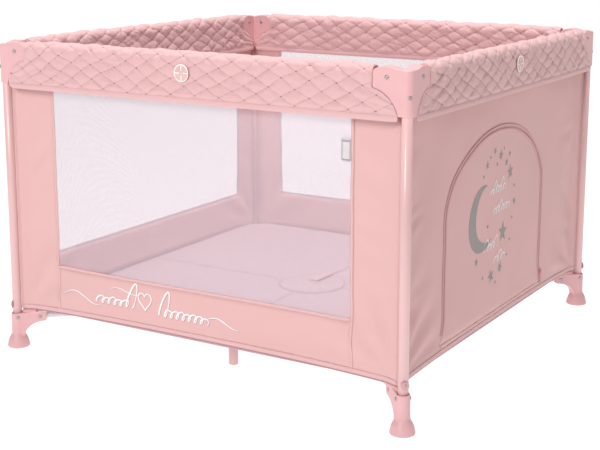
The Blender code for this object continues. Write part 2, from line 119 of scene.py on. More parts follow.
class Look:
    """A node material with short ways to add nodes."""

    def __init__(self, name, **shader):
        self.material = bpy.data.materials.new(name)
        self.material.use_nodes = True
        self.tree = self.material.node_tree
        self.shader = self.tree.nodes["Principled BSDF"]
        for key, value in shader.items():
            self.shader.inputs[key.replace("_", " ")].default_value = value

    def node(self, kind, inputs=None, **settings):
        made = self.tree.nodes.new("ShaderNode" + kind)
        for key, value in settings.items():
            setattr(made, key, value)
        for key, value in (inputs or {}).items():
            self.put(value, made.inputs[key])
        return made

    def put(self, value, socket):
        if isinstance(value, bpy.types.NodeSocket):
            self.tree.links.new(value, socket)
        else:
            socket.default_value = value

    def math(self, operation, a, b=0.0):
        return self.node("Math", {0: a, 1: b}, operation=operation).outputs[0]

    def times(self, a, b):
        return self.math("MULTIPLY", a, b)

    def coords(self, kind="UV", scale=(1, 1, 1)):
        source = self.node("TexCoord").outputs[kind]
        return self.node("Mapping", {"Vector": source, "Scale": scale}).outputs[0]

    def noise(self, vector, scale, detail=3.0, roughness=0.5):
        inputs = {"Vector": vector, "Scale": scale, "Detail": detail, "Roughness": roughness}
        return self.node("TexNoise", inputs).outputs["Fac"]

    def bands(self, vector, period, direction):
        inputs = {"Vector": vector, "Scale": 0.314159 / period}
        return self.node("TexWave", inputs, bands_direction=direction).outputs["Fac"]

    def mix(self, factor, a, b):
        made = self.node("Mix", data_type="RGBA")
        for value, socket in ((factor, 0), (a, 6), (b, 7)):
            self.put(value, made.inputs[socket])
        return made.outputs[2]

    def ramp(self, value, low, high):
        inputs = {"Value": value, "From Min": low, "From Max": high}
        return self.node("MapRange", inputs, clamp=True).outputs[0]

    def bump(self, height, distance, strength=1.0):
        made = self.node("Bump", {"Height": height, "Distance": distance, "Strength": strength})
        self.tree.links.new(made.outputs[0], self.shader.inputs["Normal"])

    def color(self, value):
        self.put(value, self.shader.inputs["Base Color"])

    def rough(self, value, low, high):
        """Roughness that runs from low to high with a value from 0 to 1."""
        made = self.node("MapRange", {"Value": value, "To Min": low, "To Max": high})
        self.put(made.outputs[0], self.shader.inputs["Roughness"])


def shade(color, factor):
    return tuple(c * factor for c in color[:3]) + (1.0,)


def weave(look, vector, pitch):
    """Height of a plain weave: warp and weft pass over each other."""
    warp = look.bands(vector, pitch, "X")
    weft = look.bands(vector, pitch, "Y")
    return look.times(warp, weft)


def fabric_look(name, color, pitch, roughness=0.85):
    """Woven polyester: plain weave with painted shade in its hollows, slubs and slow colour drift, on metre
    UVs.
    """
    look = Look(name, Roughness=roughness, Sheen_Weight=0.25, Sheen_Roughness=0.45,
                Specular_IOR_Level=0.25)
    uv = look.coords()
    threads = weave(look, uv, pitch)
    slub = look.noise(look.coords("UV", (1, 0.12, 1)), 900, 2.0)
    drift = look.noise(uv, 9, 4.0)
    tone = look.mix(look.ramp(drift, 0.3, 0.7), shade(color, 0.94), shade(color, 1.024))
    tone = look.mix(look.ramp(slub, 0.35, 0.75), tone, shade(color, 0.90))
    # Painted shade: the colour darkens where the weave's height is low, in the hollows between threads.
    tone = look.mix(look.times(threads, 0.35), shade(color, 0.86), tone)
    look.color(look.mix(0.75, tone, color))
    height = look.math("ADD", threads, look.times(slub, 0.5))
    look.bump(height, 0.00012, 0.7)
    return look.material


def quilt_look(name, color):
    """The rail covers: fine weave, a stitched trellis and a grey speck at every crossing, with painted
    shade in the weave's hollows and along the trellis's sunk lines.
    """
    look = Look(name, Roughness=0.8, Sheen_Weight=0.3, Sheen_Roughness=0.4, Specular_IOR_Level=0.3)
    uv = look.coords()
    split = look.node("SeparateXYZ", {0: uv})
    along = look.math("DIVIDE", split.outputs[0], DIAMOND[0])
    across = look.math("DIVIDE", split.outputs[1], DIAMOND[1])
    a = look.math("PINGPONG", look.math("ADD", along, across), 0.5)
    b = look.math("PINGPONG", look.math("SUBTRACT", along, across), 0.5)
    nearest = look.math("MINIMUM", a, b)
    furthest = look.math("MAXIMUM", a, b)
    line = look.ramp(nearest, 0.020, 0.006)
    dash = look.ramp(look.bands(uv, 0.0042, "X"), 0.25, 0.45)
    thread = look.times(line, dash)
    speck = look.ramp(furthest, 0.052, 0.038)
    threads = weave(look, uv, 0.0009)
    drift = look.noise(uv, 14, 4.0)
    tone = look.mix(look.ramp(drift, 0.3, 0.7), shade(color, 0.94), shade(color, 1.03))
    # Painted shade in the weave's hollows, where its height is low.
    tone = look.mix(look.times(threads, 0.25), shade(color, 0.88), tone)
    # Painted shade along the stitched lines, which the bump below sinks into grooves.
    tone = look.mix(look.times(line, 0.30), tone, shade(color, 0.84))
    tone = look.mix(look.times(thread, 0.45), tone, shade(color, 0.70))
    look.color(look.mix(look.times(speck, 0.85), tone, srgb(140, 108, 114)))
    crumple = look.noise(look.coords("UV", (1.0, 0.7, 1.0)), 150, 4.0, 0.6)
    height = look.math("SUBTRACT", look.times(crumple, 1.6), line)
    look.bump(look.math("ADD", height, look.times(threads, 0.15)), 0.0009, 0.7)
    return look.material


def net_look(name, color):
    """Fine netting: round holes on a staggered grid, in alpha."""
    look = Look(name, Roughness=0.75, Sheen_Weight=0.2, Specular_IOR_Level=0.2)
    uv = look.coords()
    split = look.node("SeparateXYZ", {0: uv})
    pitch = 0.0022
    row = look.times(split.outputs[1], 2 * math.pi / pitch)
    column = look.times(split.outputs[0], 2 * math.pi / pitch)
    first = look.times(look.math("COSINE", row), look.math("COSINE", column))
    threads = look.ramp(first, 0.40, 0.05)
    haze = look.noise(uv, 160, 2.0)
    look.color(look.mix(look.ramp(haze, 0.3, 0.7), shade(color, 0.96), color))
    cover = look.math("ADD", look.times(threads, 0.26), 0.24)
    look.put(look.math("ADD", cover, look.times(haze, 0.06)), look.shader.inputs["Alpha"])
    return look.material


def plastic_look(name, color, roughness=0.42):
    """Moulded plastic: fine spark texture, faint flow mottling and rubbed highlights."""
    look = Look(name, Specular_IOR_Level=0.45, Coat_Weight=0.08, Coat_Roughness=0.3)
    place = look.coords("Object")
    fine = look.noise(place, 1800, 2.0)
    broad = look.noise(place, 22, 4.0)
    look.color(look.mix(look.ramp(broad, 0.35, 0.7), shade(color, 0.955), color))
    look.rough(broad, roughness - 0.06, roughness + 0.08)
    look.bump(fine, 0.00006, 0.6)
    return look.material


def paint_look(name, color, roughness=0.3):
    """Powder paint on steel: orange peel and a clear top."""
    look = Look(name, Specular_IOR_Level=0.5, Coat_Weight=0.35, Coat_Roughness=0.18)
    place = look.coords("Object")
    peel = look.noise(place, 420, 2.0)
    broad = look.noise(look.coords("Object", (1, 1, 0.3)), 14, 3.0)
    look.color(look.mix(look.ramp(broad, 0.35, 0.7), shade(color, 0.965), color))
    look.rough(broad, roughness - 0.05, roughness + 0.07)
    look.bump(peel, 0.00008, 0.5)
    return look.material


def metal_look(name, color, roughness=0.3):
    """Bright rolled steel with fine brushing."""
    look = Look(name, Metallic=1.0)
    brushed = look.noise(look.coords("Object", (1, 1, 0.05)), 900, 3.0)
    look.color(look.mix(look.ramp(brushed, 0.3, 0.7), shade(color, 0.9), color))
    look.rough(brushed, roughness - 0.08, roughness + 0.12)
    look.bump(brushed, 0.00004, 0.4)
    return look.material


def print_look(name, color, sparkle):
    """Screen print on cloth: the weave shows through, with glitter grains whose sparkle is painted in as
    light glints if asked.
    """
    look = Look(name, Roughness=0.6, Specular_IOR_Level=0.4)
    uv = look.coords("Object")
    grain = look.noise(uv, 1500, 1.0)
    wear = look.noise(uv, 260, 3.0)
    tone = look.mix(look.ramp(wear, 0.35, 0.65), shade(color, 0.92), color)
    # Painted glint: the glitter grains' sparkle put into the colour as light specks.
    glint = look.times(look.ramp(grain, 0.62, 0.72), sparkle)
    look.color(look.mix(glint, tone, srgb(225, 222, 220)))
    look.bump(grain, 0.00008, 0.5)
    return look.material


LOOKS = {name: make(name, srgb(*color), *rest) for name, (make, color, *rest) in {
    "canvas": (fabric_look, (231, 185, 183), 0.0011),
    # canvas_trim: real tape, a little lighter than the canvas as a painted highlight on the window's folded
    # edges; the door's fold tape uses it too.
    "canvas_trim": (fabric_look, (233, 190, 188), 0.0009),
    "binding": (fabric_look, (231, 186, 186), 0.0008),
    # Painted shade: a darker band of cloth set back under each wall's hem.
    "under_band": (fabric_look, (184, 136, 140), 0.0009),
    "floor": (fabric_look, (198, 165, 171), 0.0012),
    "zip_tape": (fabric_look, (222, 170, 171), 0.0007, 0.7),
    "webbing": (fabric_look, (216, 172, 177), 0.0016, 0.7),
    "thread": (fabric_look, (234, 182, 182), 0.0005),
    "label": (fabric_look, (226, 220, 222), 0.0006, 0.6),
    "label_frame": (fabric_look, (168, 160, 162), 0.0006, 0.6),
    "quilt": (quilt_look, (238, 192, 192)),
    "net": (net_look, (230, 217, 227)),
    "badge": (plastic_look, (228, 190, 184), 0.5),
    "pink_plastic": (plastic_look, (234, 182, 184)),
    "grey_plastic": (plastic_look, (178, 172, 176), 0.5),
    "zip_plastic": (plastic_look, (206, 144, 149), 0.35),
    "snap": (plastic_look, (222, 170, 176), 0.3),
    "pink_paint": (paint_look, (230, 187, 186)),
    "white_paint": (paint_look, (226, 224, 226)),
    "steel": (metal_look, (186, 178, 180)),
    "grey_print": (print_look, (158, 148, 146), 0.8),
    "shadow_print": (print_look, (196, 148, 150), 0.0),
    "white_print": (print_look, (250, 246, 246), 0.2),
}.items()}


# ---- mesh helpers ----
def new_object(name, data):
    obj = bpy.data.objects.new(name, data)
    bpy.context.scene.collection.objects.link(obj)
    return obj


def add(name, mesh, look, body, slot, node=None, smooth=True):
    """A piece that rides a body and may stand for a CAD node, whose part it hides; its slot is not used."""
    obj = new_object(name, mesh)
    mesh.name = name
    mesh.materials.clear()
    mesh.materials.append(LOOKS[look])
    if smooth:
        mesh.shade_smooth()
    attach(obj, body)
    if node:
        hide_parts(node)
    return obj


def to_mesh(bm, outward=True):
    """A mesh from a bmesh, with its normals turned outward unless they are wanted as built."""
    if outward:
        bmesh.ops.recalc_face_normals(bm, faces=bm.faces)
    mesh = bpy.data.meshes.new("made")
    bm.to_mesh(mesh)
    bm.free()
    return mesh


def bridge(bm, first, second):
    """Quads between two closed rings of vertices."""
    for k in range(len(first)):
        j = (k + 1) % len(first)
        bm.faces.new((first[k], first[j], second[j], second[k]))


def circle(radius, count):
    return [(radius * math.cos(math.tau * k / count), radius * math.sin(math.tau * k / count))
            for k in range(count)]


def run_length(path):
    """Distance along a path at each of its points."""
    steps = np.linalg.norm(np.diff(path, axis=0), axis=1)
    return np.concatenate([[0], np.cumsum(steps)])


def point_at(distance, length, path):
    return np.array([np.interp(distance, length, path[:, 0]), np.interp(distance, length, path[:, 1])])


def plan_uvs(mesh):
    """UVs in metres, seen from above."""
    layer = mesh.uv_layers.new(name="metres")
    for loop in mesh.loops:
        layer.data[loop.index].uv = mesh.vertices[loop.vertex_index].co.xy
    return mesh


def grid(us, vs, place, keep=None, flat=None):
    """A quad sheet: place(U, V) gives points from arrays, and the UVs hold U and V in metres,
    or what flat(U, V) gives. keep(U, V) says which cells stay, from their middles."""
    us, vs = np.asarray(us, float), np.asarray(vs, float)
    U, V = np.meshgrid(us, vs, indexing="ij")
    points = np.asarray(place(U, V), float).reshape(-1, 3)
    flat_u, flat_v = [np.ravel(a) for a in (flat(U, V) if flat else (U, V))]
    rows, columns = len(us), len(vs)
    i, j = np.meshgrid(np.arange(rows - 1), np.arange(columns - 1), indexing="ij")
    first = i * columns + j
    quads = np.stack([first, first + columns, first + columns + 1, first + 1], -1).reshape(-1, 4)
    if keep is not None:
        middle_u = (U[:-1, :-1] + U[1:, 1:]).ravel() / 2
        middle_v = (V[:-1, :-1] + V[1:, 1:]).ravel() / 2
        quads = quads[keep(middle_u, middle_v)]
        used = np.unique(quads)
        index = np.zeros(len(points), int)
        index[used] = np.arange(len(used))
        quads, points = index[quads], points[used]
        flat_u, flat_v = flat_u[used], flat_v[used]
    mesh = bpy.data.meshes.new("sheet")
    mesh.from_pydata(points.tolist(), [], quads.tolist())
    layer = mesh.uv_layers.new(name="metres")
    corners = quads.ravel()
    flat_uv = np.stack([flat_u[corners], flat_v[corners]], -1)
    layer.data.foreach_set("uv", flat_uv.astype(np.float32).ravel())
    return mesh


def thicken(obj, thickness, offset=0.0):
    solid = obj.modifiers.new("thickness", "SOLIDIFY")
    solid.thickness = thickness
    solid.offset = offset
    solid.use_even_offset = True


def crisp_rim(obj):
    """Applies the thickness, and keeps the rim out of the cloth's smooth shading."""
    bpy.context.view_layer.update()
    graph = bpy.context.evaluated_depsgraph_get()
    mesh = bpy.data.meshes.new_from_object(obj.evaluated_get(graph))
    obj.modifiers.clear()
    obj.data = mesh
    mesh.set_sharp_from_angle(angle=math.radians(60))


def turned(profile, sides=64):
    """A solid of revolution about Z from (radius, height) points, bottom to top."""
    bm = bmesh.new()
    rings = [[bm.verts.new((x, y, height)) for x, y in circle(radius, sides)]
             for radius, height in profile]
    bm.faces.new(rings[0])
    bm.faces.new(rings[-1])
    for lower, upper in zip(rings, rings[1:]):
        bridge(bm, lower, upper)
    return to_mesh(bm)


def prism(outline, low, high, turn=Matrix()):
    bm = bmesh.new()
    bottom = [bm.verts.new(turn @ Vector((x, y, low))) for x, y in outline]
    top = [bm.verts.new(turn @ Vector((x, y, high))) for x, y in outline]
    bm.faces.new(bottom)
    bm.faces.new(top)
    bridge(bm, bottom, top)
    return to_mesh(bm)


def box(low, high):
    outline = [(low[0], low[1]), (high[0], low[1]), (high[0], high[1]), (low[0], high[1])]
    return prism(outline, low[2], high[2])


def rod(radius, start, end, sides=40):
    start, end = Vector(start), Vector(end)
    along = end - start
    turn = Matrix.Translation(start) @ along.to_track_quat("Z", "Y").to_matrix().to_4x4()
    return prism(circle(radius, sides), 0.0, along.length, turn)


def moved(mesh, turn):
    copy = mesh.copy()
    copy.transform(turn)
    return copy


def spin(degrees):
    return Matrix.Rotation(math.radians(degrees), 4, "Z")


def moulded(base, joins=(), cuts=(), voxel=0.0012, smoothing=4):
    """Shapes joined and cut, then remeshed and smoothed so that every edge has a moulded radius."""
    body = new_object("body", base)
    tools = []
    for operation, meshes in (("UNION", joins), ("DIFFERENCE", cuts)):
        for mesh in meshes:
            tools.append(new_object("tool", mesh))
            step = body.modifiers.new("step", "BOOLEAN")
            step.operation = operation
            step.solver = "EXACT"
            step.object = tools[-1]
    remesh = body.modifiers.new("remesh", "REMESH")
    remesh.mode = "VOXEL"
    remesh.voxel_size = voxel
    soften = body.modifiers.new("soften", "SMOOTH")
    soften.factor = 0.5
    soften.iterations = smoothing
    ready = body.evaluated_get(bpy.context.evaluated_depsgraph_get())
    result = bpy.data.meshes.new_from_object(ready)
    for spare in [body, *tools]:
        bpy.data.objects.remove(spare, do_unlink=True)
    return result


def corner_turn(corner):
    """X runs inward along the diagonal, and the leg's axis is Z."""
    angle = CORNERS[corner]
    inward = spin(angle) @ Vector((1, 0, 0))
    at = Vector((math.copysign(HALF, -inward.x), math.copysign(HALF, -inward.y), 0))
    return Matrix.Translation(at) @ spin(angle)


def side_turn(side):
    """X runs along the side, Y points inward from the leg line."""
    return spin(SIDES[side]) @ Matrix.Translation((0, -HALF, 0))


def on_side(side, x, y, z):
    """Arrays of side coordinates as points in the row frame."""
    angle = math.radians(SIDES[side])
    c, s = math.cos(angle), math.sin(angle)
    y = y - HALF
    return np.stack([x * c - y * s, x * s + y * c, z + 0 * x], -1)


def on_wall(side, x, z, lift=0.0):
    """Points on a wall's cloth, or outward of it by a lift."""
    return on_side(side, x, WALL_MID - lift + bulge(side, x, z), z)


def wave_noise(u, v, size, seed, terms=7):
    """Smooth repeatable noise of about unit height, with features about as large as size."""
    random = np.random.RandomState(seed)
    total = 0 * u
    for _ in range(terms):
        angle = random.uniform(0, math.pi)
        k = 2 * math.pi / (size * random.uniform(0.7, 1.8))
        run = u * math.cos(angle) + v * math.sin(angle)
        total = total + np.sin(k * run + random.uniform(0, math.tau))
    return total / math.sqrt(terms)


def smooth_step(x, low, high):
    t = np.clip((x - low) / (high - low), 0, 1)
    return t * t * (3 - 2 * t)


def wall_piece(side, name, mesh, look, slot, thickness=0.0, body=None, **more):
    """A piece of a wall on its body, thickened if a thickness is given."""
    piece = add(name, mesh, look, body or WALL_BODY[side], slot, **more)
    if thickness:
        thicken(piece, thickness)
    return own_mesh(piece)


def cover_piece(name, mesh, look, body, thickness, offset=0.0, node=None):
    """A piece of a rail cover on its rail's body, thickened, with a crisp rim."""
    piece = add(name, mesh, look, body, "padding", node)
    thicken(piece, thickness, offset)
    crisp_rim(piece)
    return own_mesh(piece)


# ---- hard parts: legs, brackets, feet ----
def ear_outline():
    x0, z0, radius = EAR_CURVE
    reach = math.acos((x0 - EAR_END) / radius)
    root = math.asin((BRACKET_LOW - z0) / radius)
    points = [(0.003, BRACKET_LOW)]
    for k in range(17):
        angle = root + (reach - root) * k / 16
        points.append((x0 - radius * math.cos(angle), z0 + radius * math.sin(angle)))
    points += [(EAR_END, 0.7520), (0.0705, 0.7562), (0.0670, 0.7595), (0.060, 0.7625), (0.052, 0.7640),
               (0.045, 0.7645), (0.037, 0.7643), (0.030, 0.7635), (0.023, 0.7615),
               (0.017, BRACKET_TOP + 0.0006), (0.011, BRACKET_TOP), (0.003, BRACKET_TOP)]
    return points


def bracket_mesh():
    """A corner cap like the CAD one, with moulded edges and a sunk ring round each rivet."""
    half, slot = 0.0148, 0.0101
    column = turned([(0.0142, BRACKET_LOW), (0.0150, BRACKET_LOW + 0.0015), (0.0150, BRACKET_TOP - 0.003),
                     (0.0138, BRACKET_TOP - 0.0008), (0.0110, BRACKET_TOP + 0.0006)])
    ears, cuts = [], []
    for angle in (-45, 45):
        turn = spin(angle)
        ears.append(moved(prism(ear_outline(), -half, half, UPRIGHT), turn))
        cuts.append(moved(box((EAR_PIVOT - 0.0105, -slot, 0.6), (0.1, slot, RAIL_Z + 0.0105)), turn))
        for face in (-1, 1):
            start = (EAR_PIVOT, face * (half - 0.0007), RIVET_Z)
            cuts.append(moved(rod(0.0068, start, (EAR_PIVOT, face * 0.03, RIVET_Z)), turn))
    cuts.append(rod(LEG_R + 0.0003, (0, 0, 0.6), (0, 0, leg_high[2] + 0.0003)))
    return moulded(column, joins=ears, cuts=cuts)


def fin_outline():
    low = 0.028
    points = [(0.003, low)]
    for k in range(17):
        angle = math.radians(90) * k / 16
        points.append((0.066 - 0.0505 * math.cos(angle), low + 0.036 * math.sin(angle)))
    points += [(0.0690, 0.0658), (0.0705, 0.0690), (0.0710, 0.0775), (0.0702, 0.0825), (0.0680, 0.0858)]
    points += [(0.0620, 0.0885), (0.003, 0.0885)]
    return points


def casing_mesh():
    """The flared foot with its forked fin."""
    bell = turned([(0.0255, 0.0), (0.0270, 0.0008), (0.0275, 0.0025), (0.0272, 0.0055), (0.0262, 0.0100),
                   (0.0250, 0.0150), (0.0234, 0.0202), (0.0212, 0.0250), (0.0190, 0.0285), (0.0173, 0.0315),
                   (0.0162, 0.0350), (0.0158, 0.0400), (0.0155, 0.0850), (0.0146, 0.0868),
                   (0.0134, 0.0873)])
    fin = prism(fin_outline(), -0.0148, 0.0148, UPRIGHT)
    cuts = [box((FIN_PIVOT - 0.0105, -0.0101, ARM_Z - 0.0105), (0.1, 0.0101, 0.2)),
            rod(LEG_R + 0.0003, (0, 0, leg_low[2] - 0.0003), (0, 0, 0.2))]
    for face in (-1, 1):
        cuts.append(rod(0.0064, (FIN_PIVOT, face * 0.0142, ARM_Z), (FIN_PIVOT, face * 0.03, ARM_Z)))
    return moulded(bell, joins=[fin], cuts=cuts)


def rivet_mesh(radius=0.0046, height=0.0022):
    """A dished rivet head that looks along +Z."""
    profile = ((1, 0), (1, 0.35), (0.90, 0.72), (0.62, 0.97), (0.42, 1), (0.30, 0.72), (0.10, 0.62))
    return turned([(radius * r, height * h) for r, h in profile], 32)


def snap_mesh():
    return turned([(0.0084, 0.0), (0.0093, 0.0006), (0.0094, 0.0016), (0.0088, 0.0024), (0.0074, 0.0026),
                   (0.0066, 0.0020), (0.0058, 0.0021), (0.0052, 0.0029), (0.0044, 0.0031)], 48)


def face_turn(at, towards):
    """Places a mesh that looks along +Z at a point, looking another way."""
    return Matrix.Translation(at) @ Vector(towards).to_track_quat("Z", "Y").to_matrix().to_4x4()


def add_legs():
    low, high = leg_low[2], leg_high[2]
    post = turned([(LEG_R - 0.0012, low), (LEG_R, low + 0.0004),
                   (LEG_R, high - 0.0004), (LEG_R - 0.0012, high)])
    parts = (("leg_post_", post, "pink_paint", "leg_tube_"),
             ("bracket_", bracket_mesh(), "pink_plastic", "top_bracket_"),
             ("foot_", casing_mesh(), "pink_plastic", "foot_casing_"))
    rivet, small, snap = rivet_mesh(), rivet_mesh(0.0034, 0.0018), snap_mesh()
    spots = []
    for angle in (-45, 45):
        for face in (-1, 1):
            at = spin(angle) @ Vector((EAR_PIVOT, face * 0.0141, RIVET_Z))
            spots.append((rivet, at, spin(angle) @ Vector((0, face, 0))))
    for face in (-1, 1):
        spots.append((rivet, (FIN_PIVOT, face * 0.0142, ARM_Z), (0, face, 0)))
        spots.append((rivet, (0, face * 0.0152, ARM_Z), (0, face, 0)))
    spots.append((rivet, (-0.0146, 0, 0.704), (-1, 0, 0)))
    spots.append((small, (-LEG_R - 0.0022, 0, SNAP_Z), (-1, 0, 0)))
    for corner in CORNERS:
        turn, body = corner_turn(corner), "leg_" + corner
        for name, mesh, look, node in parts:
            add(name + corner, moved(mesh, turn), look, body, look, node + corner)
        for k, (mesh, at, towards) in enumerate(spots):
            add(f"rivet_{corner}_{k}", moved(mesh, turn @ face_turn(at, towards)), "steel", body, "steel")
        cap = moved(snap, turn @ face_turn((-LEG_R, 0, SNAP_Z), (-1, 0, 0)))
        add("leg_snap_" + corner, cap, "snap", body, "pink_plastic", "snap_cap_" + corner)


def bar_mesh(span, radius=0.0095, wall=0.0012):
    """A tube along X with round ends that lie round its two pivots."""
    bm, loops = bmesh.new(), []
    for r, end in ((radius, 1), (radius, -1), (radius - wall, -1), (radius - wall, 1)):
        loops.append([bm.verts.new((end * (span / 2 + math.sqrt(max(radius**2 - z * z, 0))), y, z))
                      for y, z in circle(r, 32)])
    for i in range(4):
        bridge(bm, loops[i], loops[(i + 1) % 4])
    mesh = to_mesh(bm)
    mesh.set_sharp_from_angle(angle=math.radians(40))
    return mesh


def add_base():
    """The floor cross, its hub and supports, and the rails and latches inside the covers."""
    span = RAIL_SPAN * math.sqrt(2)
    arm, rail, pieces = bar_mesh(span), bar_mesh(RAIL_SPAN), []
    for corner in CORNERS:
        at = Matrix.Translation((FIN_PIVOT + span / 2, 0, ARM_Z))
        pieces.append(add("cross_arm_" + corner, moved(arm, corner_turn(corner) @ at), "white_paint",
                          "arm_" + corner, "white_paint", "arm_" + corner))
    for side, halves in HALVES.items():
        for end, half in zip((-1, 1), halves):
            at = Matrix.Translation((end * (LATCH_PIVOT + RAIL_SPAN / 2), 0, RAIL_Z))
            tag = f"{side}_{half}"
            pieces.append(add("rail_bar_" + tag, moved(rail, side_turn(side) @ at), "steel",
                              "rail_" + tag, "steel", "rail_tube_" + tag))
    for piece in pieces:
        piece.data.set_sharp_from_angle(angle=math.radians(40))
    looks = {"hub": "grey_plastic", "support_front": "pink_paint", "support_back": "pink_paint"}
    for side in SIDES:
        looks["latch_housing_" + side] = "grey_plastic"
        looks["latch_button_" + side] = "zip_plastic"
    for node, look in looks.items():
        obj = frame["nodes"][node]
        obj.data.materials.clear()
        obj.data.materials.append(LOOKS[look])
        edge = obj.modifiers.new("edge", "BEVEL")
        edge.width = 0.0008
        edge.segments = 2
        edge.limit_method = "ANGLE"
        edge.angle_limit = math.radians(35)


# ---- walls ----
def hem_height(x):
    share = np.minimum(np.abs(x) / (HALF - 0.03), 1.0)
    return HEM_LOW_MID + (HEM_LOW_END - HEM_LOW_MID) * share**3


def bulge(side, x, z):
    """How far a wall's cloth leans inward from its plane: slow ripples, and pull lines at the corners."""
    seed = 10 + list(SIDES).index(side)
    half = WALL_HALF[side]
    calm = smooth_step(half - np.abs(x), 0.002, 0.05)
    calm = calm * smooth_step(0.65 - z, 0.0, 0.05) * smooth_step(z, 0.110, 0.15)
    if side == "right":
        off_zip = (np.abs(x - DOOR_Y) - DOOR_HALF) / 0.022
        calm = calm * (1 - 0.9 * np.exp(-off_zip**2) * smooth_step(0.44 - z, 0.0, 0.04))
    slow = 0.0018 * wave_noise(x, z, 0.42, seed) + 0.0007 * wave_noise(x, z, 0.13, seed + 50)
    strip = np.exp(-((half - np.abs(x) - 0.06) / 0.045) ** 2)
    slant = z + 0.35 * np.abs(x)
    ripple = np.sin(slant * 95 + 2.2 * wave_noise(x, z, 0.2, seed + 23))
    slow = slow + 0.0019 * strip * ripple * wave_noise(x, z, 0.25, seed + 31)
    pulls = 0 * x
    for end in (-1, 1):
        dx, dz = half - end * x, z - 0.10
        reach = np.sqrt(dx**2 + dz**2)
        angle = np.arctan2(dz, dx + 1e-6)
        lines = np.sin(angle * 11 + 1.3 * wave_noise(x, z, 0.3, seed + 7 + end))
        pulls = pulls + 0.0034 * lines * np.exp(-((reach - 0.12) / 0.09) ** 2)
    out = (WALL_MID - 0.0026) * smooth_step(np.abs(x), half - 0.034, half + 0.006)
    out = out * smooth_step(0.67 - z, 0.0, 0.02)
    return calm * (slow + pulls) - out


def fitted(low, high, step):
    return np.linspace(low, high, max(2, int(round(abs((high - low) / step))) + 1))


def directions(path):
    """Unit steps along a path, turned a quarter turn to the left."""
    step = np.gradient(path, axis=0)
    step /= np.maximum(np.linalg.norm(step, axis=1, keepdims=True), 1e-9)
    return np.stack([-step[:, 1], step[:, 0]], 1)


def ribbon(side, path, width, lift, look, name, slot="canvas", crown=0.0006, body=None):
    """A flat tape along (x, z) points on a wall, slightly crowned, with its UVs along its length."""
    normal, length, index = directions(path), run_length(path), np.arange(len(path))

    def place(u, v):
        k = np.interp(u, length, index)
        x, z = [np.interp(k, index, path[:, axis]) + v * np.interp(k, index, normal[:, axis])
                for axis in (0, 1)]
        return on_wall(side, x, z, lift + crown * (1 - (2 * v / width) ** 2))

    tape = grid(length, np.linspace(-width / 2, width / 2, 5), place)
    return wall_piece(side, name, tape, look, slot, 0.0005, body)


def add_stud(bm, side, foot, head, lift, height):
    """A tiny block on a wall, from the four (x, z) points of its foot and the four of its head."""
    x, z = foot.T
    rise = bulge(side, x, z)
    low = [bm.verts.new(p) for p in on_side(side, x, WALL_MID - lift + rise, z)]
    high = [bm.verts.new(p) for p in on_side(side, head[:, 0], WALL_MID - lift - height + rise, head[:, 1])]
    bm.faces.new(high)
    bm.faces.new(low[::-1])
    bridge(bm, low, high)


def stitch_row(side, path, lift, name, body=None, pitch=0.0046, long=0.0031, thick=0.00035):
    """A row of thread stitches along (x, z) points on a wall."""
    length = run_length(path)
    bm = bmesh.new()
    for start in np.arange(pitch / 2, length[-1] - long, pitch):
        a, b = [point_at(t, length, path) for t in (start, start + long)]
        along = (b - a) / np.linalg.norm(b - a)
        aside = np.array([-along[1], along[0]]) * thick
        foot = np.array([a - aside, b - aside, b + aside, a + aside])
        add_stud(bm, side, foot, foot * 0.5 + foot.mean(axis=0) * 0.5, lift, 0.0004)
    return wall_piece(side, name, to_mesh(bm), "thread", "canvas", body=body)


def line(x0, z0, x1, z1, step=0.012):
    count = max(2, int(math.hypot(x1 - x0, z1 - z0) / step) + 1)
    return np.stack([np.linspace(x0, x1, count), np.linspace(z0, z1, count)], 1)


def hem_path(side, lift):
    xs = fitted(-WALL_HALF[side], WALL_HALF[side], 0.012)
    return np.stack([xs, hem_height(xs) + lift], 1)


def wall_grid(side):
    """A window wall's canvas as a grid whose rows follow the bowed hem."""
    half, (wide, low) = WALL_HALF[side], WINDOW[side]
    stops_x = sorted([-half, -NECK, -wide, wide, NECK, half])
    xs = np.unique(np.concatenate([fitted(a, b, 0.009) for a, b in zip(stops_x, stops_x[1:])]))
    stops_z = [GRID_FOOT, low, SHOULDER, WALL_TOP]
    zs = np.unique(np.concatenate([fitted(a, b, 0.014) for a, b in zip(stops_z, stops_z[1:])]))

    def height(x, z):
        return z + (hem_height(x) - GRID_FOOT) * smooth_step(low - z, 0.0, low - GRID_FOOT)

    def keep(x, z):
        return ((np.abs(x) > wide) | (z < low)) & ((np.abs(x) < NECK) | (z < SHOULDER))

    return grid(xs, zs, lambda x, z: on_wall(side, x, height(x, z)), keep,
                flat=lambda x, z: (x, height(x, z)))


def add_sleeves(side):
    """The wall's two upright edges, which turn outward and lie against the legs."""
    half, made = WALL_HALF[side], []
    zs = fitted(float(hem_height(half)) + 0.0005, 0.6630, 0.012)
    for end, tag in ((-1, "a"), (1, "b")):
        def place(f, z, end=end):
            reach = (HALF - half) + (SLEEVE - (HALF - half)) * f**1.5
            start = WALL_MID + bulge(side, end * half + 0 * z, z)
            return on_side(side, end * (HALF - reach), start + (0.0022 - start) * f, z)

        strip = grid(np.linspace(0, 1, 8), zs, place, flat=lambda f, z: (f * 0.011, z))
        made.append(wall_piece(side, f"wall_{side}_sleeve_{tag}", strip, "canvas", "canvas", 0.0007))
    return made


